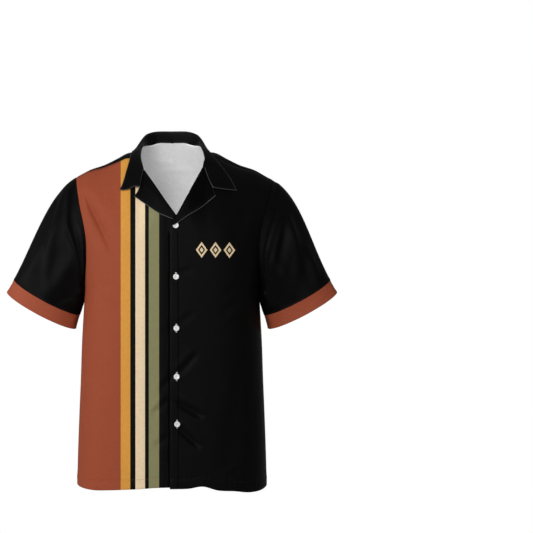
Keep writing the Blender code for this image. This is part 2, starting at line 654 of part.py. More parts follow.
def lapel_points(side):
    """A lapel on its front, rulings from the roll line to the outer edge, from the gorge to the tip."""
    rows = LAPEL_RIGHT if side < 0 else LAPEL_LEFT
    steps = np.linspace(0, 1, LAPEL_COLUMNS + 1)
    at = {k: smooth(rows, "step", k, steps) for k in rows}
    u = np.linspace(0, 1, LAPEL_ROWS + 1)[:, None]
    x = at["roll_x"] + (at["edge_x"] - at["roll_x"]) * u
    z = at["roll_z"] + (at["edge_z"] - at["roll_z"]) * u
    lift = at["lift"] * (0.55 + 0.45 * ease(u * 3)) - 0.0008 * u
    return lifted(x, q_of_height(x, z), np.maximum(lift, 0.0008))


# ---------------------------------------------------------------- the shirt
def button_mesh():
    """A turned button with a rim and a shallow dish, its back at z = 0."""
    r, h = BUTTON_RADIUS, BUTTON_HEIGHT
    outline = [(0, h * 0.72), (r * 0.55, h * 0.72), (r * 0.72, h), (r * 0.9, h), (r, h * 0.72), (r, h * 0.3),
               (r * 0.86, 0), (0, 0)]
    mesh = bpy.data.meshes.new("button")
    mesh.from_pydata([(x, 0, z) for x, z in outline], [(i, i + 1) for i in range(len(outline) - 1)], [])
    return mesh


def add_button(name, x, z, collection):
    """A button sitting on the left front, turned so that it lies flat on the cloth."""
    q = q_of_height(np.array(x), np.array(z))
    normal = outward(np.array(x), q)
    piece = add(name, button_mesh(), "button", collection)
    piece.location = lifted(np.array(x), q, BUTTON_LIFT)
    piece.rotation_euler = Vector(normal).to_track_quat("Z", "Y").to_euler()
    screw = piece.modifiers.new("turn", "SCREW")
    screw.steps = screw.render_steps = BUTTON_SIDES
    screw.use_merge_vertices = True
    screw.merge_threshold = 1e-5
    return piece


def clear_scene():
    for thing in list(bpy.data.objects):
        bpy.data.objects.remove(thing, do_unlink=True)


def build():
    clear_scene()
    shirt = bpy.data.collections.new("bowling_shirt")
    bpy.context.scene.collection.children.link(shirt)

    fronts = {-1: front_panel(-1), 1: front_panel(1)}
    back = back_panel()
    edges = {-1: back[:, 0].copy(), 1: back[:, -1].copy()}
    for side in (-1, 1):
        part_at_seams(fronts[side], edges[side])
    back[:, 0], back[:, -1] = edges[-1], edges[1]

    cloth("front_right", grid_mesh("front_right", [fronts[-1]], flip=True), "front_right", shirt)
    cloth("front_left", grid_mesh("front_left", [fronts[1]]), "front_left", shirt)
    cloth("back", grid_mesh("back", [back], flip=True), "back", shirt)

    for side, word in ((-1, "right"), (1, "left")):
        loop = armhole_loop(side, fronts[side], edges[side])
        points, end, axis = sleeve_points(side, loop)
        flip = side < 0
        cloth(f"sleeve_{word}", grid_mesh("sleeve", [points], flip, closed=True), "sleeve", shirt)
        band = band_points(side, end, axis, round_shares(loop))
        cloth(f"sleeve_band_{word}", grid_mesh("band", [band], flip, closed=True), "sleeve_band", shirt)
        lapel = grid_mesh("lapel", [lapel_points(side)], flip=side < 0)
        cloth(f"lapel_{word}", lapel, "lapel", shirt, offset=1.0)

    cloth("collar", grid_mesh("collar", collar_grids()), "collar", shirt, offset=1.0)
    for number, (x, z) in enumerate(BUTTONS, 1):
        add_button(f"button_{number}", x, z, shirt)


build()
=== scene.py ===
"""The looks of a short-sleeved bowling shirt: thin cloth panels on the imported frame's own form, with
their creases, hems, plackets, stitching and buttons.

Metres, +Z up. The wearer faces -Y, so the wearer's right is at -X. Each panel is a grid of points on one
body form with two coordinates: x across the shirt, and q down from the shoulder ridge, whose square is
the height below the ridge. q is negative on the front and positive on the back.
"""
import math

import bpy
import numpy as np
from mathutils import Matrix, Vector


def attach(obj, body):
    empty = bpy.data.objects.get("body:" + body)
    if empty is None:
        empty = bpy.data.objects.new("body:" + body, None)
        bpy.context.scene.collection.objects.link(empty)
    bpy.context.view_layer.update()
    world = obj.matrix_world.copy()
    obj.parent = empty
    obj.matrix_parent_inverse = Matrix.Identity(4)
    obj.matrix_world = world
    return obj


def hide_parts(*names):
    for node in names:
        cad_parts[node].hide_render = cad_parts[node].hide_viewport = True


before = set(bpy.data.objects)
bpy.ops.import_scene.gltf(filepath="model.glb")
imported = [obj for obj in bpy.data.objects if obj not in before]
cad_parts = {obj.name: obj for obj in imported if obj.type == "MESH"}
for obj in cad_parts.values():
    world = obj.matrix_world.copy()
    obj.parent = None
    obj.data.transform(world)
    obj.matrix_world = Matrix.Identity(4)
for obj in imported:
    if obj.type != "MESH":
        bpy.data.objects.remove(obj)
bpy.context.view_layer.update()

# ---------------------------------------------------------------- sizes, in metres
WALL = 0.0007          # cloth
COLLAR_WALL = 0.0013   # two layers and an interlining
BAND_WALL = 0.0011     # two layers
SEAM = 0.0001          # gap between two pieces at a seam
CHEST_POWER = 2.6      # power of the superellipse that the body's plan follows
SHOULDER_POWER = 1.65  # power of the one by which the shoulders roll over
SHOULDER_DROP = 0.20   # height over which they reach the body's full depth
RISE_REACH = 0.22      # q over which the back rises behind the neck
FORWARD_SEAM = 0.0425  # how far ahead of the ridge the shoulder seam starts at the neck
SIDE_OUT = 0.204       # x at which a side seam meets the hem
UNDERARM = -0.303      # height of an armhole's lowest point
NEAR_TIP = -0.078      # height from which an armhole's points are drawn together towards the tip
ARM_RIDGE = -0.045     # height of the ridge that spaces an armhole's points
PLACKET_EDGE = -0.0045     # x of the left front's edge, which lies on top
PLACKET_STITCH = 0.0125    # x of the line that holds its turned edge
UNDERLAP_START = -0.020    # x from which the right front sinks behind the left one,
UNDERLAP_FULL = PLACKET_EDGE - 0.003   # x at which it has sunk,
UNDERLAP_DEPTH = 0.0026    # and how far
V_POINT = (0.0093, -0.1523)        # x and z of the point of the neck's V
PLACKET_TOP = (-0.0045, -0.1770)   # where the left front's edge leaves the placket for it
PLACKET_BEND = (0.0012, -0.1590)   # and a point on its way
UNDERLAP_TOP = (0.0220, -0.1712)   # the same for the right front's hidden edge
UNDERLAP_BEND = ((UNDERLAP_TOP[0] + V_POINT[0]) / 2, (UNDERLAP_TOP[1] + V_POINT[1]) / 2)
CUFF_HALF_DEPTH = 0.047
CUFF_DROP = 0.011      # how much lower a cuff is at its front than at its sides
COLLAR_BULGE = 0.018   # how strongly the leaf sets off outwards where it rolls over
COLLAR_CLEAR = 0.0024  # least room between the leaf and the body
TUCK = 0.0004          # how far the stand's lower edge lies inside the neck seam
STAND_END = 8          # section of the collar at which its stand ends, at the gorge
SEAM_SECTION = 6.55    # section at which the shoulder seam meets the neck
FACING_IN = 0.016      # how far a lapel's facing runs inside the front past the roll line
FACING_UNDER = 0.0016  # how far it lies under the front's outer side
ROLL_OUT = 0.0016      # how far a lapel's roll stands past the front's own edge
LAPEL_CLEAR = 0.0009   # least room between a lapel and its front
HEM_TURN = 0.020       # height of the hem's stitch line
ALLOWANCE = (0.0010, 0.0035)   # how far the two lines of a turned-in seam allowance lie inside
LEAN = (0.00005, 0.00018)      # how far they lean over the seam, so that no light comes through it
SEAM_DIP = 0.0007      # how far a seam lies below the cloth beside it
SEAM_WIDTH = 0.0018    # and how far the dip reaches
TURNING = 0.0006       # how far the turnings inside a sleeve's seams raise it
STITCH_IN = {"armhole": 0.0030, "shoulder": 0.0035, "lapel": 0.0045, "collar": 0.0055}   # in from the edge
RUST_EDGE = -0.03      # x up to which the right front's hem is sewn with rust thread
# How far the doubled cloth of the hem and of the placket stands up, its line of stitches sinks, the cloth
# puckers beside it, and its folded edge rolls off.
SEWING = {"hem": (0.00045, 0.0005, 0.00055, 0.0009), "placket": (0.0004, 0.00045, 0.0004, 0.0016)}
PUCKER_PITCH = 0.011   # from one pucker to the next at the hem
TUG_PITCH = 0.013      # and at the placket
BUTTON_RADIUS = 0.006
BUTTON_HEIGHT = 0.0024
BUTTON_LIFT = 0.0009   # how far a button's back, its sewing thread and a buttonhole's bars lie off the form
SEWING_LIFT = 0.0024
BAR_LIFT = 0.0006
HOLE_OUT = 0.00115     # how far a sewing hole lies across and up from the button's middle
HOLE_RADIUS = 0.00062
BAR_OUT = 0.00075      # how far a buttonhole's bars lie to the side of its slit
# Each button's x and z, and how far its buttonhole reaches below and above the middle where it shows.
BUTTONS = [(0.0078, -0.1690, 0.0, 0.0), (0.0083, -0.2749, 0.0, 0.0090), (0.0090, -0.3811, 0.0090, 0.0090),
           (0.0098, -0.4810, 0.0090, 0.0090), (0.0105, -0.5788, 0.0090, 0.0090)]
WORDS = {-1: "right", 1: "left"}   # the wearer's sides

# ---------------------------------------------------------------- cells of the grids
CELLS_BELOW_ARM = 78           # up a panel from the hem's turn to the underarm
ARM_CELLS = (20, 8, 20, 16)    # and up the armhole, beside the front's corner, V, gorge and neck
FRONT_CELLS = 76
NECK_CELLS_BACK = 34           # across half the back, as far as the neck's corner
BACK_CELLS = 34                # and on to the side
SLEEVE_ROWS = 44
BAND_ROWS = 14
LEAF_ROWS = 16
STAND_ROWS = 8
LAPEL_ROWS = 16
LAPEL_RULINGS = 44
# Distances at which lines lie close together: in from the placket's edge, in to a seam and up from the hem.
NEAR_PLACKET = (0, 0.0006, 0.0016, 0.0035, 0.0075, 0.0115, 0.0150, 0.0160, 0.0166, 0.0172, 0.0178, 0.0188,
                0.0215)
FAR_SEAM = (0.0070, 0.0042, 0.0024, 0.0012, 0.0)
NEAR_HEM = (0, 0.0006, 0.0020, 0.0060, 0.0120, 0.0170, 0.0186, 0.0193, 0.0200, 0.0207, 0.0216, 0.0240)
EVEN_FROM = 0.029              # height above the hem from which a panel's rows lie evenly
ARM_START = len(NEAR_HEM) + CELLS_BELOW_ARM     # first row of a panel's grid at the underarm


# ---------------------------------------------------------------- tables
def table(names, rows):
    """A table whose columns are named, as a dict of arrays."""
    return dict(zip(names.split(), np.array(rows, float).T))


# The shoulder ridge by the distance out from the middle: its height, and how much the back rises behind it.
RIDGE = table("out height rise", [
    (0.000, 0.0500, 0.043), (0.018, 0.0475, 0.043), (0.033, 0.0400, 0.043), (0.052, 0.0145, 0.044),
    (0.068, -0.0010, 0.042), (0.082, -0.0022, 0.030), (0.095, -0.0045, 0.017), (0.117, -0.0160, 0.004),
    (0.143, -0.0290, 0.0), (0.181, -0.0425, 0.0), (0.207, -0.0570, 0.0), (0.222, -0.0650, 0.0),
    (0.260, -0.0850, 0.0),
])
# The body by height: its half width, and its depths in front and behind.
BODY = table("height half front back", [
    (-0.740, 0.2040, 0.1360, 0.120), (-0.680, 0.2030, 0.1355, 0.119), (-0.560, 0.1990, 0.1340, 0.117),
    (-0.500, 0.1965, 0.1340, 0.117), (-0.400, 0.1930, 0.1350, 0.119), (-0.340, 0.1895, 0.1360, 0.122),
    (-0.303, 0.1875, 0.1360, 0.123), (-0.200, 0.1870, 0.1350, 0.125), (-0.100, 0.1870, 0.1310, 0.123),
    (0.060, 0.1870, 0.1270, 0.120),
])
CHEST_ROW = 7          # the row of this table at the middle of the armholes
# An armhole by height: how far out it lies, and its share of the depth in front and behind.
ARMHOLE = table("height right left front back", [
    (-0.303, 0.1875, 0.1875, 0.00, 0.00), (-0.292, 0.1865, 0.1868, 0.20, 0.23),
    (-0.268, 0.1845, 0.1855, 0.35, 0.40), (-0.232, 0.1825, 0.1840, 0.47, 0.52),
    (-0.192, 0.1830, 0.1855, 0.55, 0.58), (-0.158, 0.1885, 0.1920, 0.60, 0.61),
    (-0.127, 0.1955, 0.2005, 0.64, 0.64), (-0.0815, 0.2035, 0.2125, 0.66, 0.66),
    (-0.057, 0.2070, 0.2190, 0.66, 0.66),
])
# The hem's height on both fronts and on the back.
HEM = table("out right left back", [
    (0.000, -0.7105, -0.7135, -0.7230), (0.035, -0.7110, -0.7125, -0.7230),
    (0.063, -0.7135, -0.7085, -0.7225), (0.095, -0.7155, -0.7170, -0.7215),
    (0.130, -0.7180, -0.7200, -0.7200), (0.165, -0.7200, -0.7245, -0.7185),
    (0.190, -0.7185, -0.7225, -0.7175), (0.205, -0.7160, -0.7180, -0.7165),
])
# The collar's sections from the middle of the back to the notch: the neck seam, the roll and the leaf's edge.
COLLAR_NAMES = "section neck_out neck_back roll_out roll_back roll_up edge_out edge_back edge_up"
COLLAR = {-1: table(COLLAR_NAMES, [
    (0, 0.0000, 0.0780, 0.0000, 0.0780, 0.0515, 0.0000, 0.0895, 0.0125),
    (1, 0.0330, 0.0720, 0.0330, 0.0730, 0.0505, 0.0360, 0.0850, 0.0125),
    (2, 0.0520, 0.0570, 0.0520, 0.0570, 0.0440, 0.0600, 0.0720, 0.0110),
    (3, 0.0620, 0.0380, 0.0600, 0.0380, 0.0340, 0.0765, 0.0460, 0.0070),
    (4, 0.0665, 0.0160, 0.0640, 0.0160, 0.0205, 0.0835, 0.0160, 0.0010),
    (5, 0.0680, -0.0080, 0.0655, -0.0070, 0.0085, 0.0855, -0.0120, -0.0045),
    (6, 0.0685, -0.0300, 0.0675, -0.0340, -0.0045, 0.0875, -0.0325, -0.0105),
    (7, 0.0675, -0.0520, 0.0671, -0.0580, -0.0235, 0.0915, -0.0555, -0.0315),
    (8, 0.0615, -0.0725, 0.0612, -0.0785, -0.0490, 0.0980, -0.0745, -0.0575),
    (9, 0.0615, -0.0725, 0.0640, -0.0945, -0.0685, 0.1035, -0.0860, -0.0795),
    (10, 0.0615, -0.0725, 0.0670, -0.1035, -0.0875, 0.1090, -0.0905, -0.0915),
]), 1: table(COLLAR_NAMES, [
    (0, 0.0000, 0.0780, 0.0000, 0.0780, 0.0515, 0.0000, 0.0895, 0.0125),
    (1, 0.0330, 0.0720, 0.0330, 0.0730, 0.0505, 0.0360, 0.0850, 0.0125),
    (2, 0.0520, 0.0570, 0.0520, 0.0570, 0.0430, 0.0600, 0.0720, 0.0110),
    (3, 0.0620, 0.0380, 0.0595, 0.0380, 0.0330, 0.0755, 0.0460, 0.0070),
    (4, 0.0665, 0.0160, 0.0630, 0.0160, 0.0200, 0.0795, 0.0160, 0.0015),
    (5, 0.0680, -0.0080, 0.0640, -0.0070, 0.0095, 0.0790, -0.0110, -0.0010),
    (6, 0.0695, -0.0300, 0.0680, -0.0330, -0.0030, 0.0860, -0.0335, -0.0125),
    (7, 0.0710, -0.0500, 0.0712, -0.0570, -0.0215, 0.0965, -0.0495, -0.0290),
    (8, 0.0685, -0.0660, 0.0682, -0.0735, -0.0410, 0.1080, -0.0575, -0.0440),
    (9, 0.0685, -0.0660, 0.0765, -0.0930, -0.0690, 0.1210, -0.0670, -0.0640),
    (10, 0.0685, -0.0660, 0.0850, -0.1030, -0.0885, 0.1352, -0.0786, -0.0937),
])}
# How the leaf's right corner curls up and down, in tenths of a millimetre, from its roll to its edge.
CURL_AT = (0, 0.12, 0.26, 0.40, 0.52, 0.66, 0.80, 0.90, 1)
CURL = np.array((0, 22, 34, 12, -15, -30, -37, -28, 0))
# The lapels' rulings from the notch to the roll's end, each from the roll to the edge, and their lift.
LAPEL_NAMES = "step roll_x roll_z edge_x edge_z lift"
LAPEL = {-1: table(LAPEL_NAMES, [
    (0.00, -0.0592, -0.0510, -0.0652, -0.0902, 0.0036),
    (0.25, -0.0480, -0.0690, -0.0788, -0.1078, 0.0030),
    (0.50, -0.0330, -0.0915, -0.0535, -0.1253, 0.0024),
    (0.75, -0.0165, -0.1160, -0.0272, -0.1439, 0.0018),
    (1.00, 0.0070, -0.1498, 0.0020, -0.1562, 0.0010),
]), 1: table(LAPEL_NAMES, [
    (0.00, 0.0668, -0.0428, 0.0843, -0.0905, 0.0036),
    (0.20, 0.0555, -0.0650, 0.0902, -0.1071, 0.0032),
    (0.40, 0.0425, -0.0900, 0.0620, -0.1303, 0.0030),
    (0.60, 0.0270, -0.1190, 0.0341, -0.1479, 0.0032),
    (0.80, 0.0100, -0.1500, 0.0133, -0.1625, 0.0036),
    (1.00, -0.0015, -0.1625, 0.0027, -0.1690, 0.0036),
])}
# The outer and inner corners of a cuff and of its band's top, as x and z.
CUFF_OUTER, CUFF_INNER = (0.3560, -0.3030), (0.2070, -0.3830)
BAND_TOP_OUTER, BAND_TOP_INNER = (0.3405, -0.2755), (0.1985, -0.3525)
# How a sleeve leaves its armhole from the tip (0) to the underarm (1): its way, and the reach of its cubics.
SLEEVE_LEAVES = table("drop out down speed arrive", [
    (0.0, 0.88, 0.47, 0.200, 0.250), (0.5, 0.60, 0.80, 0.150, 0.170), (1.0, 0.28, 0.96, 0.045, 0.050),
])

# The folds, pressed in along a line: the frame's own large ones first, then the creases that only the
# cloth has.
FOLDS_FRONT = table("x0 z0 x1 z1 depth width", [
    (-0.190, -0.080, -0.125, -0.225, 0.0040, 0.022),
    (0.110, -0.700, 0.135, -0.540, 0.0035, 0.026),
    (-0.100, -0.690, -0.125, -0.520, 0.0030, 0.026),
    (-0.1950, -0.0780, -0.1080, -0.2480, 0.0060, 0.0115),
    (-0.1930, -0.0800, -0.1190, -0.2350, 0.0036, 0.0042),
    (-0.1960, -0.0860, -0.1780, -0.1720, 0.0018, 0.0042),
    (0.0093, -0.4800, 0.0560, -0.4290, 0.0042, 0.0065),
    (-0.0300, -0.5150, 0.0062, -0.4717, 0.0030, 0.0060),
    (0.0020, -0.5290, 0.0700, -0.5680, 0.0078, 0.0068),
    (-0.0450, -0.5600, -0.0010, -0.5250, 0.0045, 0.0055),
    (0.0050, -0.5790, 0.0620, -0.6310, 0.0078, 0.0068),
    (-0.0400, -0.6290, -0.0010, -0.5970, 0.0036, 0.0055),
    (0.0100, -0.3750, 0.0500, -0.3450, 0.0013, 0.0065),
    (-0.0280, -0.3950, 0.0060, -0.3780, 0.0012, 0.0060),
    (0.0100, -0.2720, 0.0450, -0.2560, 0.0012, 0.0065),
    (0.1060, -0.6960, 0.1480, -0.6740, 0.0018, 0.0065),
    (-0.1300, -0.7180, -0.1200, -0.6800, 0.0014, 0.0060),
    (-0.1500, -0.7060, -0.1250, -0.6850, 0.0011, 0.0060),
    (-0.0900, -0.7050, -0.0780, -0.6850, 0.0009, 0.0050),
    (0.1520, -0.3150, 0.0950, -0.3550, 0.0020, 0.0100),
    (0.1600, -0.2850, 0.1050, -0.3100, 0.0017, 0.0090),
    (-0.1600, -0.3100, -0.1000, -0.3500, 0.0018, 0.0100),
    (-0.1650, -0.2800, -0.1200, -0.3000, 0.0014, 0.0090),
    (-0.1600, -0.4500, -0.1300, -0.6200, 0.0014, 0.0130),
    (0.1500, -0.4200, 0.1250, -0.6000, 0.0018, 0.0140),
    (0.1650, -0.1150, 0.1150, -0.2350, 0.0020, 0.0140),
    (0.1350, -0.0750, 0.0950, -0.1650, 0.0012, 0.0110),
    (-0.1350, -0.0600, -0.1050, -0.1500, 0.0009, 0.0110),
])
FOLDS_BACK = table("x0 z0 x1 z1 depth width", [
    (-0.105, -0.670, -0.070, -0.520, 0.0040, 0.026),
    (0.060, -0.680, 0.100, -0.540, 0.0035, 0.026),
    (-0.0650, -0.0060, 0.0250, -0.0200, 0.0014, 0.0070),
    (-0.0400, -0.0300, 0.0600, -0.0330, 0.0012, 0.0080),
    (-0.1550, -0.3150, -0.0850, -0.3650, 0.0018, 0.0110),
    (-0.1600, -0.2800, -0.1000, -0.3100, 0.0014, 0.0100),
    (0.1550, -0.3100, 0.0900, -0.3500, 0.0018, 0.0110),
    (0.1600, -0.2750, 0.1050, -0.3000, 0.0014, 0.0100),
    (-0.1650, -0.1200, -0.1200, -0.2300, 0.0014, 0.0130),
    (0.1700, -0.1250, 0.1250, -0.2400, 0.0014, 0.0130),
    (-0.0300, -0.6950, 0.0100, -0.6100, 0.0016, 0.0120),
    (0.1350, -0.6950, 0.1500, -0.5900, 0.0014, 0.0120),
    (-0.1500, -0.6900, -0.1420, -0.6000, 0.0012, 0.0110),
    (0.0100, -0.4100, 0.0250, -0.5600, 0.0010, 0.0180),
])
# On a sleeve a fold runs from one share of the way round and along to another. It stands out by its height,
# or is pressed in where that is negative. which is -1 for the right sleeve alone, 1 for the left and 0 for
# both.
FOLDS_SLEEVE = table("which round0 along0 round1 along1 height width", [
    (0, 0.13, 0.15, 0.13, 0.95, 0.0050, 0.014),
    (0, 0.27, 0.25, 0.27, 1.00, 0.0045, 0.012),
    (0, 0.40, 0.30, 0.40, 0.90, 0.0035, 0.012),
    (0, 0.68, 0.20, 0.68, 0.95, 0.0045, 0.014),
    (0, 0.84, 0.30, 0.84, 1.00, 0.0040, 0.012),
    (-1, 0.02, 0.08, 0.20, 0.58, 0.0055, 0.0095),
    (-1, 0.12, 0.36, 0.30, 1.08, 0.0055, 0.0100),
    (-1, 0.04, -0.02, 0.20, 0.20, -0.0040, 0.0070),
    (-1, 0.13, 0.14, 0.34, 0.22, -0.0035, 0.0060),
    (-1, 0.04, 0.08, 0.20, 0.27, 0.0045, 0.0055),
    (-1, 0.14, 0.25, 0.33, 0.21, 0.0040, 0.0055),
    (-1, 0.18, 0.05, 0.40, 0.11, 0.0040, 0.0080),
    (-1, 0.34, 0.80, 0.48, -0.05, 0.0042, 0.0052),
    (-1, 0.30, 0.95, 0.42, 0.40, -0.0025, 0.0060),
    (1, -0.02, 0.00, 0.17, 0.17, -0.0030, 0.0045),
    (1, 0.10, 0.13, 0.44, 0.19, -0.0028, 0.0045),
    (1, 0.05, 0.16, 0.32, 0.56, -0.0030, 0.0100),
    (1, 0.12, 0.24, 0.32, 0.38, 0.0020, 0.0065),
    (1, 0.09, 0.22, 0.24, 0.84, 0.0038, 0.0105),
    (1, 0.10, 0.45, 0.20, 1.00, -0.0024, 0.0110),
    (1, 0.36, 0.75, 0.48, 0.00, 0.0036, 0.0052),
    (0, 0.96, 0.30, 0.82, 0.60, 0.0020, 0.0080),
    (0, 0.93, 0.12, 0.64, 0.18, -0.0022, 0.0080),
    (0, 0.62, 0.80, 0.53, 0.05, 0.0026, 0.0055),
    (0, 0.74, 0.35, 0.60, 0.60, 0.0016, 0.0070),
    (0, 0.50, 0.06, 0.50, 0.70, 0.0020, 0.0060),
    (0, 0.78, 0.70, 0.72, 1.00, 0.0014, 0.0070),
])
SLEEVE_ROUND, SLEEVE_LONG = 0.40, 0.18     # metres round a sleeve and along it, for the folds' widths


# ---------------------------------------------------------------- curves and the body form
def smooth(rows, name, at):
    """A named column of a table as a piecewise cubic over its first column, with the slope at each row the
    step-weighted mean of its neighbours' slopes."""
    xs, ys = next(iter(rows.values())), rows[name]
    step = np.diff(xs)
    slope = np.diff(ys) / step
    lean = np.empty_like(ys)
    lean[1:-1] = (slope[:-1] * step[1:] + slope[1:] * step[:-1]) / (step[:-1] + step[1:])
    lean[0], lean[-1] = slope[0], slope[-1]
    at = np.clip(at, xs[0], xs[-1])
    i = np.clip(np.searchsorted(xs, at, side="right") - 1, 0, len(xs) - 2)
    t = (at - xs[i]) / step[i]
    start = (1 + 2 * t) * (1 - t) ** 2 * ys[i] + t * (1 - t) ** 2 * step[i] * lean[i]
    return start + t * t * (3 - 2 * t) * ys[i + 1] + t * t * (t - 1) * step[i] * lean[i + 1]


def ease(t):
    """0 to 1 with level ends: 3t^2 - 2t^3."""
    t = np.clip(t, 0, 1)
    return t * t * (3 - 2 * t)


def hermite(p0, t0, p1, t1, t):
    """A cubic from p0 to p1 that leaves along t0 and arrives along t1."""
    return ((1 + 2 * t) * (1 - t) ** 2 * p0 + t * (1 - t) ** 2 * t0
            + t * t * (3 - 2 * t) * p1 + t * t * (t - 1) * t1)


def line_at(value, at, width):
    """A bell of the given width round a line."""
    return np.exp(-((value - at) / width) ** 2)


def unit(vectors):
    """Vectors at length one."""
    return vectors / np.maximum(np.linalg.norm(vectors, axis=-1, keepdims=True), 1e-12)


def ridge(x):
    """Height of the shoulder ridge."""
    return smooth(RIDGE, "height", np.abs(x))


def neck_rise(x):
    """How much the back rises behind the neck."""
    return smooth(RIDGE, "rise", np.abs(x))


def hem_at(x, side, face="front"):
    """Height of the hem on a side's front or on the back."""
    return smooth(HEM, "back" if face == "back" else WORDS[side], np.abs(x))


def roll(h):
    """Share of the depth that cloth reaches h below the ridge: a superellipse quarter, whose power is
    SHOULDER_POWER and whose height is SHOULDER_DROP."""
    return (1 - (1 - np.clip(h / SHOULDER_DROP, 0, 1)) ** SHOULDER_POWER) ** (1 / SHOULDER_POWER)


def roll_height(share):
    """The inverse of roll."""
    return SHOULDER_DROP * (1 - (1 - np.clip(share, 0, 1) ** SHOULDER_POWER) ** (1 / SHOULDER_POWER))


def half_width(x, z, face):
    """Half width of the plan at height z: the side seam's below the arm, and above it the one whose
    superellipse passes through the armhole's edge at its reach."""
    out = np.where(x < 0, smooth(ARMHOLE, "right", z), smooth(ARMHOLE, "left", z))
    reach = np.clip(smooth(ARMHOLE, face, z), 0, 0.9)
    above = out / (1 - reach ** CHEST_POWER) ** (1 / CHEST_POWER)
    return np.where(z < UNDERARM, smooth(BODY, "half", z), above)


def plan(x, z, face):
    """How much of the depth is left at x: a superellipse of CHEST_POWER over the half width."""
    share = np.clip(np.abs(x) / half_width(x, z, face), 0, 1)
    return (1 - share ** CHEST_POWER) ** (1 / CHEST_POWER)


def full_depth(x, y, z):
    """Depth of the form on y's side, well below the ridge."""
    return np.where(y < 0, smooth(BODY, "front", z) * plan(x, z, "front"),
                    smooth(BODY, "back", z) * plan(x, z, "back"))


def height_at(x, q):
    """Height of the form: the ridge, plus the back's rise near the neck, less q squared."""
    return ridge(x) + neck_rise(x) * ease(q / RISE_REACH) * (q > 0) - q * q


def bell(x, z, run_x, run_z, deep, width):
    """Depth of one fold at x and z from its start: a bell across its line, which fades out at both ends.
    A narrow one has a raised shoulder of a third of its depth beside it, as pinched cloth has."""
    length = math.hypot(run_x, run_z)
    along = (x * run_x + z * run_z) / length ** 2
    across = (z * run_x - x * run_z) / length / width
    shoulder = (0.33 if width < 0.02 else 0.0) * np.exp(-(across - 1.7) ** 2)
    return deep * ease(4 * along * (1 - along)) * (np.exp(-across ** 2) - shoulder)


def troughs(folds, x, z):
    """Depth of all the folds of a table at x and z."""
    return sum(bell(x - x0, z - z0, x1 - x0, z1 - z0, deep, width)
               for x0, z0, x1, z1, deep, width in zip(*folds.values()))


def form(x, q):
    """Points of the body form: z from height_at, and y the front's or back's depth times roll of q
    squared times plan, less the folds, which fade over the last 17 mm towards the side."""
    x, q = np.broadcast_arrays(np.asarray(x, float), np.asarray(q, float))
    z = height_at(x, q)
    front = -smooth(BODY, "front", z) * roll(q * q) * plan(x, z, "front")
    back = smooth(BODY, "back", z) * roll(q * q) * plan(x, z, "back")
    edge = ease(12 * (half_width(x, z, "front") - np.abs(x)) / 0.2)
    front = front + troughs(FOLDS_FRONT, x, z) * edge * (q < 0)
    back = back - troughs(FOLDS_BACK, x, z) * edge
    return np.stack([x, np.where(q < 0, front, back), z], -1)


def q_of_height(x, z):
    """q on the front at height z: minus the square root of the drop from the ridge."""
    return -np.sqrt(np.clip(ridge(x) - z, 0, None))


def q_of_back_height(x, z):
    """q on the back at height z, well below the neck."""
    return np.sqrt(np.clip(ridge(x) + neck_rise(x) - z, 0, None))


def q_of_depth(x, y):
    """q where the plan is x and y near the shoulder, by six rounds of inverting the roll."""
    x, y = np.broadcast_arrays(np.asarray(x, float), np.asarray(y, float))
    q = np.zeros_like(x)
    for _ in range(6):
        q = np.sign(y) * np.sqrt(roll_height(np.abs(y) / full_depth(x, y, height_at(x, q))))
    return q


def outward(x, q, step=1e-4):
    """Unit normals of the form: the cross product of its slopes along x and q."""
    return unit(np.cross(form(x + step, q) - form(x - step, q), form(x, q + step) - form(x, q - step)))


def lifted(x, q, lift):
    """Points of the form moved out along its normals by lift."""
    return form(x, q) + outward(x, q) * np.asarray(lift)[..., None]


def clear_of_body(points, room):
    """Points moved out until they are at least room away from the form: Newton steps on the form's own
    superellipse equation, only ever outwards."""
    def field(p):
        x, y, z = np.moveaxis(p, -1, 0)
        share = np.abs(y) / np.maximum(full_depth(x, y, z), 1e-4)
        q = np.sqrt(roll_height(share)) * (y > 0)
        h = ridge(x) + neck_rise(x) * ease(q / RISE_REACH) - z
        top = np.where(h < 0, 1 - h / SHOULDER_DROP, np.clip(1 - h / SHOULDER_DROP, 0, None))
        return top ** SHOULDER_POWER + share ** SHOULDER_POWER - 1

    points = points.copy()
    step = 2e-4
    for _ in range(4):
        slope = np.stack([field(points + step * axis) - field(points - step * axis)
                          for axis in np.eye(3)], -1) / (2 * step)
        steep = np.linalg.norm(slope, axis=-1)
        short = np.clip(room - field(points) / steep, 0, None)
        points += slope / steep[..., None] * short[..., None]
    return points


# ---------------------------------------------------------------- grids
def normals_of(points, wrap=False):
    """Unit normals of a grid: the cross product of its steps along the rows and down the columns."""
    if wrap:
        across = np.roll(points, -1, 1) - np.roll(points, 1, 1)
    else:
        across = np.gradient(points, axis=1)
    return unit(np.cross(across, np.gradient(points, axis=0)))


def run_of(points, axis):
    """Distance along each line of a grid from its first point."""
    step = np.linalg.norm(np.diff(points, axis=axis), axis=-1)
    run = np.cumsum(step, axis=axis)
    return np.concatenate([np.zeros_like(np.take(run, [0], axis)), run], axis)


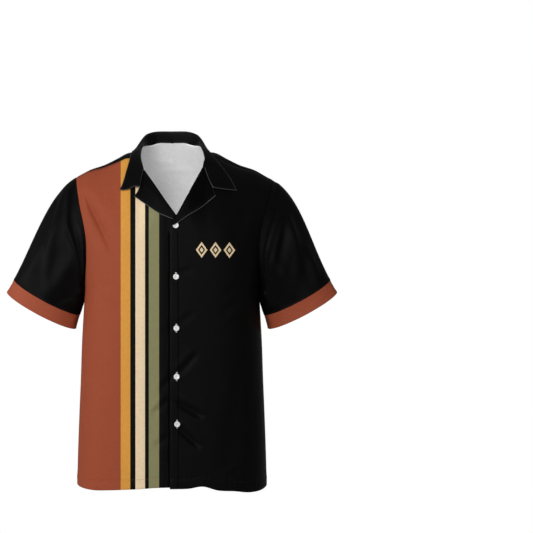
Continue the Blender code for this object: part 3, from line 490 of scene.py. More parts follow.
def columns_between(x_in, x_out, q_in, q_out, near, cells, far):
    """Shares of the way between two edges for every row: near lists distances from the inner edge, far
    from the outer one, and cells lie evenly between. Distances are measured along the cloth, by one
    interpolation of all rows, each set apart by 2."""
    fine = np.linspace(0, 1, 301)
    row = form(x_in[:, None] + (x_out - x_in)[:, None] * fine, q_in[:, None] + (q_out - q_in)[:, None] * fine)
    run = run_of(row, 1)
    total = run[:, -1:]
    middle = near[-1] + (total - near[-1] - far[0]) * np.linspace(0, 1, cells + 1)
    at = np.concatenate([np.tile(near[:-1], (len(total), 1)), middle, total - np.array(far[1:])], 1) / total
    apart = 2.0 * np.arange(len(total))[:, None]
    found = np.interp((at + apart).ravel(), (run / total + apart).ravel(), np.tile(fine, len(total)))
    return found.reshape(at.shape)


def rows_below_arm(hem):
    """Heights from the hem to the underarm, close together at the hem's turn."""
    even = np.linspace(hem + EVEN_FROM, UNDERARM, CELLS_BELOW_ARM, endpoint=False)
    return np.concatenate([hem + np.array(NEAR_HEM), even])


def armhole_rows():
    """Heights of an armhole's points from the underarm to the tip, evenly along the curve that its share
    of the chest's depth draws below a level ridge."""
    t = np.linspace(0, 1, 800)
    z = ARMHOLE["height"][0] + (ARMHOLE["height"][-1] - ARMHOLE["height"][0]) * t
    y = smooth(ARMHOLE, "front", z) * roll(ARM_RIDGE - z) * BODY["front"][CHEST_ROW]
    run = np.concatenate([[0], np.cumsum(np.hypot(np.diff(y), np.diff(z)))])
    return np.interp(np.linspace(0, run[-1], sum(ARM_CELLS) + 1), run, z)


def outer_edge(side, face):
    """x, q and z of a panel's side seam and armhole, from the hem up. The last heights are drawn together
    so that the tip lies on the ridge."""
    z = np.concatenate([rows_below_arm(hem_at(SIDE_OUT, side, face)), armhole_rows()])
    x = side * np.where(z < UNDERARM, smooth(BODY, "half", z), smooth(ARMHOLE, WORDS[side], z))
    tip = ridge(x[-1])
    z = np.where(z > NEAR_TIP, NEAR_TIP + (z - NEAR_TIP) * (tip - NEAR_TIP) / (z[-1] - NEAR_TIP), z)
    return x, (q_of_height if face == "front" else q_of_back_height)(x, z), z


def neck_edge(side, sections):
    """x and y in plan of the neck seam at the collar's sections."""
    return side * smooth(COLLAR[side], "neck_out", sections), smooth(COLLAR[side], "neck_back", sections)


def front_inner_edge(side):
    """x and q of a front's placket edge, roll line and neck seam, from the hem up."""
    corner, at_v, gorge_cells, neck_cells = ARM_CELLS
    top, bend = (UNDERLAP_TOP, UNDERLAP_BEND) if side < 0 else (PLACKET_TOP, PLACKET_BEND)
    gorge_x, gorge_y = neck_edge(side, np.array(float(STAND_END)))
    gorge = form(gorge_x, q_of_depth(gorge_x, gorge_y))
    below = rows_below_arm(hem_at(0.0, side))
    turn = np.linspace(0, 2, at_v, endpoint=False)
    up = np.linspace(0, 1, gorge_cells, endpoint=False)
    x = [np.full(len(below) + corner, top[0]), np.interp(turn, (0, 1, 2), (top[0], bend[0], V_POINT[0])),
         V_POINT[0] + (gorge[0] - V_POINT[0]) * up]
    z = [below, np.linspace(UNDERARM, top[1], corner, endpoint=False),
         np.interp(turn, (0, 1, 2), (top[1], bend[1], V_POINT[1])), V_POINT[1] + (gorge[2] - V_POINT[1]) * up]
    x, z = np.concatenate(x), np.concatenate(z)
    neck_x, neck_y = neck_edge(side, np.linspace(STAND_END, SEAM_SECTION, neck_cells + 1))
    return np.concatenate([x, neck_x]), np.concatenate([q_of_height(x, z), q_of_depth(neck_x, neck_y)])


def shoulder_seam(start, end, shares):
    """x and q along the forward shoulder seam, which nears the ridge towards the tip."""
    x = start + (end - start) * shares
    ahead = FORWARD_SEAM * (1 - shares) ** 0.95
    return x, q_of_depth(x, -np.maximum(ahead, 1e-7)) * (ahead > 1e-6)


def sewn(points, side, face):
    """A panel's points with its sewing pressed in: a groove at the hem's stitch line and a roll at its
    turn, a groove and a thicker band at the placket, and a seam's dip along the side and armhole.
    Everything moves along the grid's normals."""
    x, z = points[..., 0], points[..., 2]
    up = z - hem_at(x, side, face)
    stands, sinks, pulls, rolls = SEWING["hem"]
    pucker = np.sin(x * 2 * math.pi / PUCKER_PITCH + 2.2 * np.sin(x * 41)) * np.cos(x * 67 + 1.3)
    move = stands * ease((HEM_TURN + 0.0006 - up) / 0.0012) - sinks * line_at(up, HEM_TURN, 0.0008)
    move = move + pulls * pucker * line_at(up, HEM_TURN, 0.008) * ease(up / 0.010)
    move = move - rolls * np.clip(1 - up / 0.0016, 0, 1) ** 2
    run = run_of(points, 1)
    move = move - SEAM_DIP * line_at(run[:, -1:] - run, 0, SEAM_WIDTH)
    if face == "back":
        move = move - SEAM_DIP * line_at(run, 0, SEAM_WIDTH)
    if side > 0 and face == "front":
        stands, sinks, pulls, rolls = SEWING["placket"]
        band = ease((PLACKET_STITCH + 0.0004 - x) / 0.0009) * ease((-0.150 - z) / 0.01)
        tug = np.sin(z * 2 * math.pi / TUG_PITCH + 1.9 * np.sin(z * 37)) * ease((-0.17 - z) / 0.02)
        move = move + stands * band - sinks * line_at(x, PLACKET_STITCH, 0.0007) * (z < -0.16)
        move = move + pulls * tug * line_at(x, PLACKET_STITCH, 0.006)
        move = move - rolls * np.clip(1 - run / 0.0034, 0, 1) ** 2 * ease((-0.155 - z) / 0.01)
    return points + normals_of(points) * move[..., None] * (side if face == "front" else -1)


def front_panel(side):
    """Points of a front, rows from the hem to the shoulder seam, columns from the centre to the side.
    The right front sinks behind the left one's placket."""
    x_in, q_in = front_inner_edge(side)
    x_out, q_out, z_out = outer_edge(side, "front")
    shares = columns_between(x_in, x_out, q_in, q_out, NEAR_PLACKET, FRONT_CELLS, FAR_SEAM)
    x = x_in[:, None] + (x_out - x_in)[:, None] * shares
    q = q_in[:, None] + (q_out - q_in)[:, None] * shares
    level = ((z_out - z_out[0]) / (z_out[-1] - z_out[0]))[:, None]
    hem = q_of_height(x[0], hem_at(x[0], side))
    _, seam = shoulder_seam(x_in[-1], x_out[-1], shares[-1])
    q = q + (hem - q[0]) * (1 - level) ** 4 + (seam - q[-1]) * level ** 4
    points = form(x, q)
    if side < 0:
        behind = ease((points[..., 0] - UNDERLAP_START) / (UNDERLAP_FULL - UNDERLAP_START))
        points[..., 1] += UNDERLAP_DEPTH * behind
    return points


def back_half(side):
    """x and q of half the back, rows from the hem up, columns from the centre to the side. The columns
    are closer where the neck turns forward, so that they come up to it from further out."""
    x_out, q_out, z_out = outer_edge(side, "back")
    sections = np.interp(np.linspace(0, 1, NECK_CELLS_BACK + 1), (0, 0.68, 1), (0, 3.2, SEAM_SECTION))
    neck_x, neck_y = neck_edge(side, sections)
    neck_q = q_of_depth(neck_x, neck_y)
    hem = q_of_back_height(np.array(0.0), HEM["back"][0])
    level = (z_out - z_out[0]) / (z_out[-1] - z_out[0])
    q_in = hem + (neck_q[0] - hem) * level ** 1.05
    cells = NECK_CELLS_BACK + BACK_CELLS
    shares = columns_between(np.zeros(len(x_out)), x_out, q_in, q_out, (0,), cells, FAR_SEAM)
    x = x_out[:, None] * shares
    q = q_in[:, None] + (q_out - q_in)[:, None] * shares
    level = level[:, None]
    hem_q = q_of_back_height(x[0], hem_at(x[0], side, "back"))
    rest = (shares[-1, NECK_CELLS_BACK:] - shares[-1, NECK_CELLS_BACK]) / (1 - shares[-1, NECK_CELLS_BACK])
    seam_x, seam_q = shoulder_seam(neck_x[-1], x_out[-1], rest)
    top_x, top_q = np.concatenate([neck_x, seam_x[1:]]), np.concatenate([neck_q, seam_q[1:]])
    x = x + (top_x - x[-1]) * level ** 4
    q = q + (hem_q - q[0]) * (1 - level) ** 4 + (top_q - q[-1]) * level ** 5
    return x, q


def back_panel():
    """Points of the back, columns from the right side to the left."""
    right, left = back_half(-1), back_half(1)
    return form(*(np.concatenate([r[:, ::-1], l[:, 1:]], 1) for r, l in zip(right, left)))


def turned_in(points, inward, axis, start=False):
    """A grid with its seam allowance: two more lines at the end of an axis, or at its start, that turn
    in along the given directions and lean on past the edge."""
    points = points.swapaxes(0, 1) if axis else points
    edge, before = (points[0], points[1]) if start else (points[-1], points[-2])
    inside, past = (np.array(sizes)[:, None, None] for sizes in (ALLOWANCE, LEAN))
    more = edge + inward * inside + unit(edge - before) * past
    points = np.concatenate([more[::-1], points] if start else [points, more])
    return points.swapaxes(0, 1) if axis else points


def seam_inward(side, edge_normals, sleeve_normals):
    """Directions of the allowances down a side seam and round an armhole, from the hem up: level below
    the arm, and above it against both pieces' normals, eased into each other."""
    level = np.tile(np.array((-side, 0.0, 0.0)), (len(edge_normals), 1))
    above = len(edge_normals) - len(sleeve_normals)
    share = ease((np.arange(len(sleeve_normals)) - 1) / 5.0)[:, None]
    around = unit(-edge_normals[above:] - sleeve_normals)
    level[above:] = unit(level[above:] * (1 - share) + around * share)
    return level


def shoulder_inward(row, ends):
    """Directions of the allowance along a panel's top: against the form's normals, with the last one
    repeated for the side allowances' columns at the given ends."""
    down = -outward(row[:, 0], q_of_depth(row[:, 0], row[:, 1]))
    return np.concatenate([down[:1]] * (2 * ends[0]) + [down] + [down[-1:]] * (2 * ends[1]))


# ---------------------------------------------------------------- sleeves
def armhole_loop(side, front, back_edge):
    """The armhole's points from the shoulder tip down the front and up the back."""
    loop = np.concatenate([front[ARM_START:, -1][::-1], back_edge[ARM_START + 1:-1]])
    return loop + np.array((side * SEAM, 0, 0))


def ellipse(side, outer, inner, shares, depth):
    """A cuff's loop and the arm's direction there: half the way between its corners by the cosine, its
    depth by the sine, and lower at its front than at its back."""
    outer, inner = np.array((side * outer[0], 0, outer[1])), np.array((side * inner[0], 0, inner[1]))
    angle = 2 * np.pi * shares[:, None]
    axis = unit(np.cross(outer - inner, (0, -side, 0)))
    ahead = np.array((0, -1, 0)) * np.sin(angle)
    return ((outer + inner) / 2 + (outer - inner) / 2 * np.cos(angle)
            + ahead * depth + axis * CUFF_DROP * np.sin(angle)), axis


def round_shares(loop):
    """Share of the way round for each point of a loop: 0 at the tip, a half at the underarm."""
    closed = np.concatenate([loop, loop[:1]])
    run = run_of(closed, 0)
    under = len(loop) // 2
    return np.interp(run[:-1], [0, run[under], run[-1]], [0, 0.5, 1])


def sleeve_points(side, loop, shares):
    """A sleeve: cubics from the armhole to the top of its band, moved along their normals by its folds, and
    raised by the turnings inside the seams at both ends. Also gives the band's top loop and the arm's
    direction."""
    end, axis = ellipse(side, BAND_TOP_OUTER, BAND_TOP_INNER, shares, CUFF_HALF_DEPTH * 1.03)
    drop = 1 - np.abs(1 - 2 * shares)
    way = {k: smooth(SLEEVE_LEAVES, k, drop)[:, None] for k in SLEEVE_LEAVES}
    leave = unit(way["out"] * np.array((side, 0, 0)) + way["down"] * np.array((0, 0, -1))) * way["speed"]
    even = np.linspace(0, 1, SLEEVE_ROWS + 1)
    rows = np.concatenate([[0, 0.004, 0.010], even[1:-1], [0.990, 0.996, 1]])[:, None, None]
    points = hermite(loop, leave, end, axis * way["arrive"], rows)
    rise = np.zeros(points.shape[:2])
    for which, round0, along0, round1, along1, high, width in zip(*FOLDS_SLEEVE.values()):
        if which * side >= 0:
            turn = ((shares - (round0 + round1) / 2 + 0.5) % 1 - 0.5 - (round0 - round1) / 2) * SLEEVE_ROUND
            down = (rows[..., 0] - along0) * SLEEVE_LONG
            rise += bell(turn, down, (round1 - round0) * SLEEVE_ROUND, (along1 - along0) * SLEEVE_LONG,
                         high, width)
    seam = run_of(points, 0)
    rise += TURNING * line_at(seam, 0, SEAM_WIDTH) + TURNING * line_at(seam[-1] - seam, 0, 0.0016)
    return points + normals_of(points, True) * side * rise[..., None], end, axis


def band_points(side, end, axis, shares):
    """A sleeve's band: a straight tube down to the cuff, drawn in between its two sewn edges by a half sine
    and by a slow ripple round it, with a fold line that stands out at mid height."""
    cuff, _ = ellipse(side, CUFF_OUTER, CUFF_INNER, shares, CUFF_HALF_DEPTH)
    start = end + axis * SEAM
    rows = np.concatenate([[0, 0.03], np.linspace(0.07, 0.93, BAND_ROWS), [0.97, 1]])[:, None, None]
    points = start + (cuff - start) * rows
    v = rows[..., 0]
    ripple = np.sin(2 * np.pi * 9 * shares + 1.7 * np.sin(4 * np.pi * shares)) * (1 - v) * v * 4
    drawn_in = 0.0009 * np.sin(np.pi * v) - 0.0005 * line_at(v, 0.52, 0.035) + 0.0004 * ripple
    return points - normals_of(points, True) * side * drawn_in[..., None]


# ---------------------------------------------------------------- collar and lapels
def collar_side(side, sections):
    """One side of the collar: the stand rises from the neck seam to the roll line, and the leaf rolls
    over and falls to its edge. Both are cubics, and the leaf is then held clear of the body. The stand's
    first line is tucked inside the neck, where it never rises again on its way from the back."""
    at = {k: smooth(COLLAR[side], k, sections) for k in COLLAR[side]}
    neck = form(side * at["neck_out"], q_of_depth(side * at["neck_out"], at["neck_back"]))
    fold = np.stack([side * at["roll_out"], at["roll_back"], at["roll_up"]], -1)
    edge = np.stack([side * at["edge_out"], at["edge_back"], at["edge_up"]], -1)
    run = np.gradient(fold[:, :2], axis=0)
    away = unit(np.stack([run[:, 1], -run[:, 0], np.zeros(len(run))], -1) * -side)
    flat = ease((sections - 6.0) / 2.0)[:, None]
    leave = away * COLLAR_BULGE * (1 - flat) + (edge - fold) * flat
    t = np.concatenate([np.linspace(0, 0.93, LEAF_ROWS), [0.96, 0.985, 1]])[:, None, None]
    leaf = hermite(fold, leave, edge, (edge - fold) * 0.9, t)
    if side < 0:
        leaf[..., 2] += np.interp(t[..., 0], CURL_AT, CURL * 1e-4) * ease((sections - 8.4) / 1.6)
    leaf[1:] = clear_of_body(leaf[1:], COLLAR_CLEAR)
    up = fold - neck
    t = np.linspace(0, 1, STAND_ROWS + 1)[:, None, None]
    arrive = leave * np.clip(np.linalg.norm(up, axis=1) / 0.03, 0.2, 1)[:, None]
    stand = hermite(neck + unit(up) * 3 * SEAM, up, fold, arrive, t)
    tuck = neck - away * TUCK
    tuck[:, 2] = np.minimum.accumulate(neck[:, 2])
    return np.concatenate([tuck[None], stand]), leaf


# The sections that the collar's columns lie at, on one side and then from notch to notch.
SECTIONS = np.concatenate([np.linspace(0, 9.8, 60), [9.9, 9.96, 10]])
SECTIONS_ACROSS = np.concatenate([-SECTIONS[::-1], SECTIONS[1:]])


def collar_points():
    """The stand's and the leaf's grids, from the right notch round the neck to the left notch."""
    standing = SECTIONS < STAND_END
    right_stand, right_leaf = collar_side(-1, SECTIONS)
    left_stand, left_leaf = collar_side(1, SECTIONS)
    leaf = np.concatenate([right_leaf[:, ::-1], left_leaf[:, 1:]], 1)
    stand = np.concatenate([right_stand[:, standing][:, ::-1], left_stand[:, standing][:, 1:]], 1)
    return stand, leaf


def lapel_points(side):
    """A lapel with its roll and the start of its facing. Each ruling runs from under the front's inside,
    out round the roll line by half an ellipse, and back over the front to the lapel's edge, which is
    straight from the notch to the point."""
    rows = LAPEL[side]
    steps = np.union1d(np.linspace(0, 1, LAPEL_RULINGS + 1), rows["step"][1] + np.array((-0.004, 0, 0.004)))
    at = {k: smooth(rows, k, steps) for k in rows}
    past = {k: v[1:] for k, v in rows.items()}     # past the point, where the edge curves
    for k in ("edge_x", "edge_z"):
        straight = np.interp(steps, rows["step"], rows[k])
        at[k] = np.where(steps < past["step"][0], straight, smooth(past, k, steps))
    width = np.hypot(at["edge_x"] - at["roll_x"], at["edge_z"] - at["roll_z"])
    u = np.concatenate([np.linspace(0, 0.94, LAPEL_ROWS), [0.97, 0.99, 1]])[:, None]
    over = np.maximum(at["lift"] * (0.55 + 0.45 * ease(u * 3)) - 0.0008 * u, LAPEL_CLEAR)
    inside = np.linspace(1, 0.15, 5)[:, None] * np.minimum(FACING_IN, width * 0.9) / width
    turn = np.linspace(-math.pi / 2, math.pi / 2, 9)[1:-1, None]
    middle, half = (over[0] - FACING_UNDER) / 2, (over[0] + FACING_UNDER) / 2
    share = np.concatenate([inside, -np.cos(turn) * ROLL_OUT / width, u + 0 * width])
    lift = np.concatenate([0 * inside - FACING_UNDER, middle + half * np.sin(turn), over])
    x = at["roll_x"] + (at["edge_x"] - at["roll_x"]) * share
    z = at["roll_z"] + (at["edge_z"] - at["roll_z"]) * share
    return lifted(x, q_of_height(x, z), lift)


# ---------------------------------------------------------------- meshes
def corners_of(rows, columns, wrap, flip):
    """Corner indices of a grid's cells, for its vertices and for a UV grid with one more column."""
    span = columns + 1 if wrap else columns
    i, j = np.meshgrid(np.arange(rows - 1), np.arange(span - 1), indexing="ij")
    order = ((0, 0), (0, 1), (1, 1), (1, 0))
    order = order[::-1] if flip else order
    vert = np.stack([(i + a) * columns + (j + b) % columns for a, b in order], -1).reshape(-1, 4)
    flat = np.stack([(i + a) * span + (j + b) for a, b in order], -1).reshape(-1, 4)
    return vert, flat


def walls_of(rings, sides, first=0):
    """Corner indices of the quads between rings of points, each ring listed after the one before."""
    r, k = np.meshgrid(np.arange(rings - 1), np.arange(sides), indexing="ij")
    a, b = first + r * sides + k, first + r * sides + (k + 1) % sides
    return np.stack([a, a + sides, b + sides, b], -1).reshape(-1, 4)


def positions(mesh):
    """A mesh's points as rows of x, y and z."""
    co = np.empty(len(mesh.vertices) * 3, np.float32)
    mesh.vertices.foreach_get("co", co)
    return co.reshape(-1, 3)


def linked(name, data):
    """An object for some data, in the scene."""
    obj = bpy.data.objects.new(name, data)
    bpy.context.scene.collection.objects.link(obj)
    return obj


def mesh_of(name, grids, wrap=False, flip=False, rims=None):
    """One mesh of one or more grids, with a UV map that measures the cloth in metres: along its rows and
    down its columns. Points that coincide between grids are merged by sharing their index. rims gives
    each grid's distances from the line along which its material paints a line: a highlight on a folded edge,
    shade along the placket."""
    points, faces, uvs, first = [], [], [], 0
    for grid in grids:
        rows, columns = grid.shape[:2]
        vert, flat = corners_of(rows, columns, wrap, flip)
        full = np.concatenate([grid, grid[:, :1]], 1) if wrap else grid
        uv = np.stack([run_of(full, 1), run_of(full, 0)], -1).reshape(-1, 2)
        points.append(grid.reshape(-1, 3))
        faces.append(vert + first)
        uvs.append(uv[flat].reshape(-1, 2))
        first += rows * columns
    points, faces, uvs = np.concatenate(points), np.concatenate(faces), np.concatenate(uvs)
    _, keep, same = np.unique(np.round(points, 6), axis=0, return_index=True, return_inverse=True)
    faces = same.reshape(-1)[faces]
    mesh = bpy.data.meshes.new(name)
    mesh.from_pydata(points[keep].tolist(), [], faces.tolist())
    mesh.uv_layers.new(name="cloth").data.foreach_set("uv", uvs.ravel().astype(np.float32))
    if rims:
        rim = np.concatenate([r.ravel() for r in rims])[keep]
        mesh.attributes.new("rim", "FLOAT", "POINT").data.foreach_set("value", rim.astype(np.float32))
    mesh.shade_smooth()
    mesh.update()
    return mesh


def printed(mesh):
    """Stores where the print lies: x scaled by how far the cloth stands forward, so that the stripes
    hang plumb as they were printed on the flat panel, and the height."""
    x, y, z = positions(mesh).T
    place = mesh.attributes.new("print", "FLOAT_VECTOR", "POINT")
    place.data.foreach_set("vector", np.stack([x / (1 + y / 3), z, 0 * z], -1).ravel())


def rim_of(points, ends=False):
    """Distance of each point along the cloth from its grid's last row, or from its end columns where
    they are nearer and ends is set."""
    down, along = run_of(points, 0), run_of(points, 1)
    rim = down[-1] - down
    return np.minimum(rim, np.minimum(along, along[:, -1:] - along)) if ends else rim


def placket_shade_distance(points, side):
    """Distance of a front's points from the placket line along which its material paints shade, below the top
    button: the left front's edge on the right front, and the stitch line on the left one. The line strays a
    little."""
    x, z = points[..., 0], points[..., 2]
    stray = 0.0007 * np.sin(z * 71 + 0.8 * np.sin(z * 190))
    at = PLACKET_EDGE - 0.0012 if side < 0 else PLACKET_STITCH
    return np.abs(x - at - stray) + 0.01 * ease((z + 0.185) / 0.012)


def piece(name, mesh, finish, nodes=(), inside=None, wall=None, offset=-1.0):
    """An object for a mesh, riding on the shirt. A wall makes it a shell, whose inner side may take
    another finish."""
    obj = linked(name, mesh)
    mesh.materials.append(finish)
    if wall:
        shell = obj.modifiers.new("wall", "SOLIDIFY")
        shell.thickness = wall
        shell.offset = offset
        if inside:
            mesh.materials.append(inside)
            shell.material_offset = 1
    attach(obj, "root")
    if nodes:
        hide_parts(*nodes)
    return obj


def panel(node, grids, finish, slot="black_polyester", inside=None, wall=WALL, offset=-1.0, dyed=False,
          **how):
    """A piece of cloth made of grids, which stands for a node of the frame. A dyed one carries a print."""
    mesh = mesh_of(f"{node}_cloth", grids, **how)
    if dyed:
        printed(mesh)
    piece(f"{node}_cloth", mesh, finish, [node], inside, wall, offset)


# ---------------------------------------------------------------- materials
def colour(code):
    """An sRGB hex code as a linear colour."""
    parts = [int(code[i:i + 2], 16) / 255 for i in (1, 3, 5)]
    return tuple(c / 12.92 if c <= 0.04045 else ((c + 0.055) / 1.055) ** 2.4 for c in parts) + (1.0,)


def feed(tree, node, inputs):
    """Links each input that is given as another node's output, and sets any other."""
    for key, value in inputs.items():
        if isinstance(value, bpy.types.NodeSocket):
            tree.links.new(value, node.inputs[key])
        else:
            node.inputs[key].default_value = value


def add(tree, kind, inputs=None, out=0, **settings):
    """Adds a node with its settings and inputs, and gives one of its outputs."""
    node = tree.nodes.new("ShaderNode" + kind)
    for key, value in settings.items():
        setattr(node, key, value)
    feed(tree, node, inputs or {})
    return node.outputs[out]


def surface(name, recipe):
    """A material whose shader's inputs a recipe works out on its tree."""
    made = bpy.data.materials.new(name)
    made.use_nodes = True
    tree = made.node_tree
    feed(tree, tree.nodes["Principled BSDF"], recipe(tree))
    return made


def printed_place(tree):
    """Where the print lies, across the shirt and up it."""
    place = add(tree, "Attribute", {}, "Vector", attribute_name="print")
    across = add(tree, "SeparateXYZ", {0: place})
    return across, across.node.outputs[1]


def between(tree, value, low, high):
    """1 where value is within half the span of its middle, otherwise 0."""
    off = add(tree, "Math", {0: value, 1: (low + high) / 2}, operation="SUBTRACT")
    off = add(tree, "Math", {0: off}, operation="ABSOLUTE")
    return add(tree, "Math", {0: off, 1: (high - low) / 2}, operation="LESS_THAN")


def diamond(tree, across, up, first, pitch, half_x, middle_z, half_z):
    """How far out a point lies in a row of diamonds at pitch, from 0 in a diamond's middle to 1 on its
    edge: the sum of its shares of the half width and the half height."""
    local = add(tree, "Math", {0: across, 1: first - pitch / 2}, operation="SUBTRACT")
    local = add(tree, "Math", {0: local, 1: pitch}, operation="FLOORED_MODULO")
    local = add(tree, "Math", {0: local, 1: pitch / 2}, operation="SUBTRACT")
    local = add(tree, "Math", {0: local}, operation="ABSOLUTE")
    rise = add(tree, "Math", {0: up, 1: middle_z}, operation="SUBTRACT")
    rise = add(tree, "Math", {0: rise}, operation="ABSOLUTE")
    rise = add(tree, "Math", {0: rise, 1: half_z}, operation="DIVIDE")
    return add(tree, "Math", {0: local, 1: 1 / half_x, 2: rise}, operation="MULTIPLY_ADD")


INK = {"black": "#090808", "rust": "#964931", "mustard": "#d29440", "cream": "#e8d0aa", "olive": "#86845e",
       "teal": "#5b8f7c", "coral": "#dd7d65", "tan": "#c79c70"}
# The right front's stripes from its side to its edge: where each starts, across the shirt.
STRIPES = [(-0.1108, "mustard"), (-0.0901, "black"), (-0.0790, "cream"), (-0.0583, "black"),
           (-0.0501, "olive"), (-0.0279, "black")]
CHEST_DIAMONDS = {"first": 0.064, "pitch": 0.030, "half_x": 0.0125, "middle_z": -0.2195, "half_z": 0.0165}
CHEST_ENDS = (0.049, 0.139)    # half a pitch past the first and the last diamond of the chest
# The back's print: level bands (lowest, highest) above and below a row of diamonds, with its half width.
BANDS = [(-0.112, -0.100, "tan"), (-0.094, -0.086, "cream"), (-0.080, -0.072, "olive"),
         (-0.352, -0.330, "olive"), (-0.380, -0.362, "cream"), (-0.406, -0.388, "tan"),
         (-0.424, -0.412, "olive")]
PRINT_HALF = 0.146
DIAMONDS = ("coral", "mustard", "cream", "teal", "coral")
PITCH = 0.058
BACK_DIAMONDS = {"first": -PITCH * (len(DIAMONDS) - 1) / 2, "pitch": PITCH, "half_x": 0.0255,
                 "middle_z": -0.221, "half_z": 0.092}


def stripes(tree):
    """The right front's ground of rust with its upright stripes, each laid over what lies before it."""
    across, _ = printed_place(tree)
    result = colour(INK["rust"])
    for start, ink in STRIPES:
        past = add(tree, "Math", {0: across, 1: start}, operation="GREATER_THAN")
        result = add(tree, "Mix", {0: past, 6: result, 7: colour(INK[ink])}, 2, data_type="RGBA")
    return result


def chest_print(tree):
    """Black with three small cream diamonds on the wearer's left chest, each a ring round a core."""
    across, up = printed_place(tree)
    far = diamond(tree, across, up, **CHEST_DIAMONDS)
    core, ring = between(tree, far, -0.01, 0.34), between(tree, far, 0.62, 1.0)
    shown = add(tree, "Math", {0: core, 1: ring}, operation="ADD")
    shown = add(tree, "Math", {0: shown, 1: between(tree, across, *CHEST_ENDS)}, operation="MULTIPLY")
    return add(tree, "Mix", {0: shown, 6: colour(INK["black"]), 7: colour(INK["cream"])}, 2, data_type="RGBA")


def back_print(tree):
    """Black with level bands above and below five tall diamonds, each with a thin black ring inside."""
    across, up = printed_place(tree)
    framed = between(tree, across, -PRINT_HALF, PRINT_HALF)
    result = colour(INK["black"])
    for low, high, ink in BANDS:
        share = add(tree, "Math", {0: framed, 1: between(tree, up, low, high)}, operation="MULTIPLY")
        result = add(tree, "Mix", {0: share, 6: result, 7: colour(INK[ink])}, 2, data_type="RGBA")
    far = diamond(tree, across, up, **BACK_DIAMONDS)
    filled = add(tree, "Math", {0: far, 1: 1.0}, operation="LESS_THAN")
    solid = add(tree, "Math", {0: filled, 1: between(tree, far, 0.58, 0.66)}, operation="SUBTRACT")
    for k, ink in enumerate(DIAMONDS):
        middle = BACK_DIAMONDS["first"] + PITCH * k
        own = between(tree, across, middle - PITCH / 2, middle + PITCH / 2)
        share = add(tree, "Math", {0: solid, 1: own}, operation="MULTIPLY")
        result = add(tree, "Mix", {0: share, 6: result, 7: colour(INK[ink])}, 2, data_type="RGBA")
    return result


# A plain weave has about three threads to the millimetre, which no view here would show: it is drawn at
# 1.1 mm, so that the cloth still reads as woven close up.
THREAD = 0.0011


def cloth(name, ground, rough=0.48, gloss=0.05, sheen=0.0, crumple=0.0012, line=None, reach=0.0013,
          matt=None):
    """Woven polyester. The weave is a bump of the warp's sine times the weft's, over a slow noise in lumps
    of 45 mm that leaves the cloth a little uneven. The dye takes unevenly by a few hundredths, in patches of
    5 mm, and roughness goes with it. ground is a colour or a function that lays down a print. line is a
    colour painted within reach of the rim line: a paler painted highlight along a folded edge on the collar
    and lapels, a dark painted shade along the placket on the fronts; matt is the roughness there, which takes
    away the gloss."""
    def recipe(tree):
        warp = add(tree, "SeparateXYZ", {0: add(tree, "UVMap", uv_map="cloth")})
        weft = add(tree, "Math", {0: warp.node.outputs[1], 1: 2 * math.pi / THREAD}, operation="MULTIPLY")
        warp = add(tree, "Math", {0: warp, 1: 2 * math.pi / THREAD}, operation="MULTIPLY")
        weft = add(tree, "Math", {0: weft}, operation="SINE")
        warp = add(tree, "Math", {0: warp}, operation="SINE")
        weave = add(tree, "Math", {0: warp, 1: weft}, operation="MULTIPLY")
        place = add(tree, "TexCoord", {}, "Object")
        uneven = add(tree, "TexNoise", {"Vector": place, "Scale": 22.0, "Detail": 3.0, "Roughness": 0.5})
        take = add(tree, "TexNoise", {"Vector": place, "Scale": 190.0, "Detail": 3.0, "Roughness": 0.6})
        slow = add(tree, "Bump", {"Strength": 1.0, "Distance": crumple, "Height": uneven})
        fine = add(tree, "Bump", {"Strength": 0.4, "Distance": 0.00006, "Height": weave, "Normal": slow})
        base = ground(tree) if callable(ground) else colour(ground)
        polish = add(tree, "MapRange", {0: take, 1: 0.3, 2: 0.7, 3: rough - 0.04, 4: rough + 0.04})
        # the rim line's painted highlight on the collar and lapels and its painted shade on the fronts, with
        # the roughness raised there where matt is given
        if line:
            rim = add(tree, "Attribute", {}, "Fac", attribute_name="rim")
            painted_share = add(tree, "MapRange", {0: rim, 1: reach * 0.45, 2: reach, 3: 1.0, 4: 0.0})
            base = add(tree, "Mix", {0: painted_share, 6: base, 7: colour(line)}, 2, data_type="RGBA")
            if matt:
                polish = add(tree, "MapRange", {0: painted_share, 3: polish, 4: matt})
        shade = add(tree, "MapRange", {0: take, 1: 0.3, 2: 0.7, 3: 0.95, 4: 1.05})
        base = add(tree, "Mix", {0: 1.0, 6: base, 7: shade}, 2, data_type="RGBA", blend_type="MULTIPLY")
        return {"Base Color": base, "Roughness": polish, "Normal": fine, "Specular IOR Level": gloss,
                "Sheen Weight": sheen, "Sheen Roughness": 0.4}
    return surface(name, recipe)


def resin(name, clear, cloudy):
    """Cast resin: a slow noise, in clouds of 3 mm, shifts its colour and its polish, and a fine one
    scuffs it."""
    def recipe(tree):
        place = add(tree, "TexCoord", {}, "Object")
        cloud = add(tree, "TexNoise", {"Vector": place, "Scale": 340.0, "Detail": 2.0})
        scuffs = add(tree, "TexNoise", {"Vector": place, "Scale": 1400.0, "Detail": 4.0})
        return {"Base Color": add(tree, "Mix", {0: cloud, 6: colour(clear), 7: colour(cloudy)}, 2,
                                  data_type="RGBA"),
                "Roughness": add(tree, "MapRange", {0: cloud, 3: 0.22, 4: 0.34}),
                "Normal": add(tree, "Bump", {"Strength": 0.15, "Distance": 0.00004, "Height": scuffs}),
                "IOR": 1.55}
    return surface(name, recipe)


